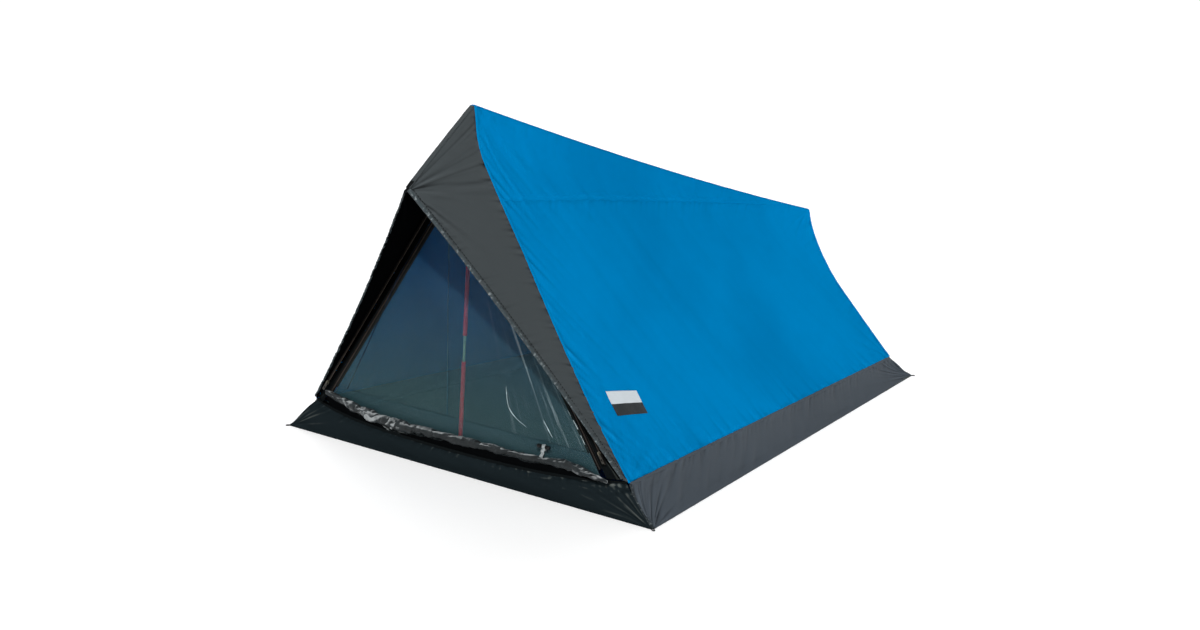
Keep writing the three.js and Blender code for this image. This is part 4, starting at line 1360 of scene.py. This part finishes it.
LABEL_GRID = (90, 36)  # columns and rows of the patch
label = sheet("label_patch_cloth", label_surface, *LABEL_GRID, ["patch", "patch_dark"], "label_cloth",
              ["label_patch"], "stretched", ["roof_right"], label_bump, thickness=0.5 * MM)
label.modifiers["thickness"].material_offset = 0
row_of = np.arange(len(label.data.polygons)) // LABEL_GRID[0]
label.data.polygons.foreach_set("material_index", (row_of < LABEL_GRID[1] * LABEL_FIELD).astype(np.int32))

# ---- loops, pockets and patches


def ribbon_loop(node, outward, normal, tuck):
    """A loop of ribbon in place of a CAD loop: both legs run back by a tuck, under the cloth."""
    outward = unit(np.array(outward, float))
    side = unit(np.cross(normal, outward))
    centre, radius = box_centre(node) - outward * 6 * MM, 2.8 * MM
    turn = np.linspace(-math.pi / 2, math.pi / 2, 24)
    leg = np.linspace(-tuck, 1 * MM, 10)[:-1]
    spread = side * (radius * (1 + 0.25 * leg / tuck))[:, None]
    first, last = (centre + outward * leg[:, None] + sign * spread for sign in (-1, 1))
    bend = centre + outward * (1 * MM + radius * np.cos(turn))[:, None]
    bend = bend + side * (radius * np.sin(turn))[:, None]
    sweep(f"{node}_ribbon", np.vstack([first, bend, last[::-1]]), normal, flat_section(3.2 * MM, 1.7 * MM),
          ["webbing"], replaces=[node], wobble=puckered(1501, 0.15 * MM, 5 * MM, 0.1))


for side, sign in (("right", 1), ("left", -1)):
    ribbon_loop(f"peg_loop_front_{side}", (sign, -1, 0), (0, 0, 1), 20 * MM)
    ribbon_loop(f"peg_loop_rear_{side}", (sign, 1, 0), (0, 0, 1), 20 * MM)
ribbon_loop("hood_guy_loop", (0, -1, -0.35), (1, 0, 0), 16 * MM)
ribbon_loop("rear_guy_loop", (0, 1, -0.35), (1, 0, 0), 16 * MM)


def tip_cap(name, start, end, width, thickness):
    """The black end of a ridge, folded over and sewn down."""
    path = lerp(np.array(start), np.array(end), np.linspace(0, 1, 30)[:, None])

    def wobble(offsets, distance):
        share = distance / distance[-1]
        swell = 0.55 + 0.45 * np.sin(np.clip(share * 1.4, 0, 1) * math.pi / 2)
        offsets *= swell[:, None, None]
        offsets[..., 1] += 0.6 * MM * noise(distance / (5 * MM), 0.5, 1511)[:, None]
        return offsets

    sweep(name, path, (0, 0, 1), flat_section(width, thickness), ["webbing"], wobble=wobble)


ridge_run = unit(hood_ridge[-1] - hood_ridge[0])
tip_cap("hood_tip_cap", hood_ridge[0] - ridge_run * 3 * MM, hood_ridge[0] + ridge_run * 20 * MM,
        13 * MM, 5 * MM)


def pocket(name):
    """The small sewn pocket that the pole's plug stands in."""
    points = vertices(name)
    low = points[points[:, 2] < points[:, 2].min() + 1 * MM].mean(0)
    high = points[points[:, 2] > points[:, 2].max() - 1 * MM].mean(0)
    width = float(np.ptp(points[:, 0]))

    def wobble(offsets, distance):
        share = distance / distance[-1]
        close = np.sqrt(np.clip(1 - ((share - 0.55) / 0.45).clip(0) ** 2, 0.02, 1))
        offsets *= close[:, None, None]
        angle = np.arctan2(offsets[..., 1], offsets[..., 0])
        offsets *= (1 + 0.06 * np.sin(angle * 7 + 3 * share[:, None]))[..., None]
        return offsets

    sweep(f"{name}_cloth", lerp(low, high, np.linspace(0, 1, 30)[:, None]), (0, 1, 0),
          round_section(width, width, 32), ["webbing"], replaces=[name], wobble=wobble)


def foot_patch(name):
    """A stitched patch on the groundsheet, under a pole's foot."""
    low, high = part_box(name)

    def surface(u, v):
        return np.stack([lerp(low.x, high.x, u), lerp(low.y, high.y, v), np.full_like(u, high.z)], -1)

    def bump(s, t):
        hem = hemmed(s, t, 0.5 * MM, 3 * MM, 1.2 * MM)
        return 0.3 * MM * noise(s / 0.012, t / 0.012, 1521) + hem + 0.4 * MM

    sheet(f"{name}_cloth", surface, 56, 28, ["black"], "webbing", [name], "laid", ["groundsheet"], bump,
          thickness=0.6 * MM)


for end in ("front", "rear"):
    pocket(f"{end}_pole_pocket")
    foot_patch(f"{end}_foot_patch")


def toggle_ribbon():
    """The pale ribbon that goes over the toggle's waist and down into the bunched storm door."""
    x, y, z = box_centre("storm_toggle")
    # (aside, back, up) from the middle of the bar, in millimetres
    route = [(0, 6, -12), (0, 6, -4), (0, 5, 3), (0.5, 1.6, 5.6), (1.5, -3, 4.6), (2.5, -5.4, 0), (3, -6, -6),
             (2, -7.4, -11), (3, -7, -16), (1, -9, -21), (0, -9, -26)]
    knots = np.array([(x + a * MM, y + b * MM, z + c * MM) for a, b, c in route])
    line = on_rail(knots, np.linspace(0, 1, 120))
    normal = np.cross(np.gradient(line, axis=0), np.array([1.0, 0, 0]))

    def wobble(offsets, distance):
        share = offsets[..., 0] / (5 * MM)
        field = facets(distance[:, None] / (4.5 * MM), share * 1.2 + 7, 1531)
        offsets[..., 1] += 1.5 * MM * field * np.clip(distance / (22 * MM), 0.15, 1)[:, None]
        offsets[..., 0] *= 1 + 0.12 * noise(distance / (9 * MM), 0.5, 1532)[:, None]
        return offsets

    section = [(a * MM, up * 0.4 * MM) for up in (1, -1) for a in np.linspace(up * 4.6, up * -4.6, 17)]
    sweep("toggle_ribbon", line, normal, section, ["pale_webbing"],
          replaces=["toggle_strap"], wobble=wobble)


toggle_ribbon()

# ---- the CAD nodes that stay in view

FINISHES = {"_slider": "metal", "_pull_tab": "dark_metal", "_tube": "pole", "_rod": "rod",
            "_plug": "black_plastic", "_pole_foot": "black_plastic", "storm_toggle": "black_plastic"}
for node, obj in NODES.items():
    for ending, material in FINISHES.items():
        if node.endswith(ending):
            obj.data.materials.clear()
            obj.data.materials.append(MATERIALS[material])
            obj.data.polygons.foreach_set("use_smooth", [True] * len(obj.data.polygons))
            obj.data.set_sharp_from_angle(angle=math.radians(35))

# ---- studio

FLOOR_RADIUS = 9.0
BACKDROP_RADIUS = 15.0
BACKDROP_HEIGHT = 4.5
BACKDROP_FADE = 0.8  # the height at which the backdrop gives all its own light
FLOOR_GLOW = 0.22
BACKDROP_GLOW = 0.82  # on top of the floor's
CAMERA_TURN = (33.056, 12.569, 3.642)  # azimuth, elevation and roll, in degrees
CAMERA_PLACE = (2.4206, -4.0420, 1.3138)
LENS = 47.84
SENSOR = 36


def studio_floor():
    """A pale floor that curves up far away into a backdrop all round."""
    s = Shader("studio floor")
    s.set(Roughness=0.9, Specular_IOR_Level=0.0, Emission_Color=(1, 1, 1, 1))
    # the backdrop glows instead of catching the lamps, so it is as white on every side
    height = s.add("SeparateXYZ", {0: s.place()}).outputs[2]
    risen = s.add("MapRange", {"Value": height, "From Min": 0.0, "From Max": BACKDROP_FADE}).outputs[0]
    s.link(s.mix(risen, (0.92, 0.92, 0.92), (0, 0, 0)), "Base Color")
    s.link(s.math("ADD", s.math("MULTIPLY", risen, BACKDROP_GLOW), FLOOR_GLOW), "Emission Strength")
    angles = np.linspace(0, 2 * math.pi, 129)[:-1]
    rise = np.linspace(0, 1, 24)
    radii = np.concatenate([np.linspace(0.05, FLOOR_RADIUS, 12),
                            lerp(FLOOR_RADIUS, BACKDROP_RADIUS, rise[1:])])
    heights = np.concatenate([np.zeros(12), BACKDROP_HEIGHT * rise[1:] ** 2]) - 0.5 * MM
    points = [(r * math.cos(a), r * math.sin(a), z) for r, z in zip(radii, heights) for a in angles]
    faces = grid_faces(len(radii), len(angles), closed=True)
    faces.append(tuple(range(len(angles)))[::-1])
    obj = new_object("studio_floor", points, faces)
    obj.data.materials.append(s.material)


def soft_sun(name, towards, strength, angle):
    """A far lamp: towards points from the tent to it, and angle is how wide it looks."""
    data = bpy.data.lights.new(name, "SUN")
    data.energy = strength
    data.angle = math.radians(angle)
    obj = bpy.data.objects.new(name, data)
    obj.rotation_euler = Vector(towards).to_track_quat("Z", "Y").to_euler()
    obj.location = Vector(towards) * 5
    bpy.context.scene.collection.objects.link(obj)


def studio_world(strength):
    """Even white light from all round."""
    world = bpy.data.worlds.new("studio")
    bpy.context.scene.world = world
    world.use_nodes = True
    background = world.node_tree.nodes["Background"]
    background.inputs["Color"].default_value = (1, 1, 1, 1)
    background.inputs["Strength"].default_value = strength


def camera():
    """The view from the front right, a little above the tent."""
    azimuth, elevation, roll = (math.radians(a) for a in CAMERA_TURN)
    level = Vector((math.sin(azimuth), -math.cos(azimuth), 0))
    back = level * math.cos(elevation) + Vector((0, 0, math.sin(elevation)))
    right = Vector((math.cos(azimuth), math.sin(azimuth), 0))
    up = back.cross(right)
    rolled_right = right * math.cos(roll) + up * math.sin(roll)
    rolled_up = up * math.cos(roll) - right * math.sin(roll)
    data = bpy.data.cameras.new("camera")
    data.sensor_width = SENSOR
    data.lens = LENS
    obj = bpy.data.objects.new("camera", data)
    turn = Matrix((rolled_right, rolled_up, back)).transposed().to_4x4()
    obj.matrix_world = Matrix.Translation(CAMERA_PLACE) @ turn
    bpy.context.scene.collection.objects.link(obj)
    bpy.context.scene.camera = obj


studio_floor()
camera()
soft_sun("key", (0.43, -0.66, 0.61), 2.85, 3)
soft_sun("fill", (-0.60, 0.45, 0.66), 0.7, 40)
studio_world(0.22)
bpy.context.scene.view_settings.view_transform = "Standard"
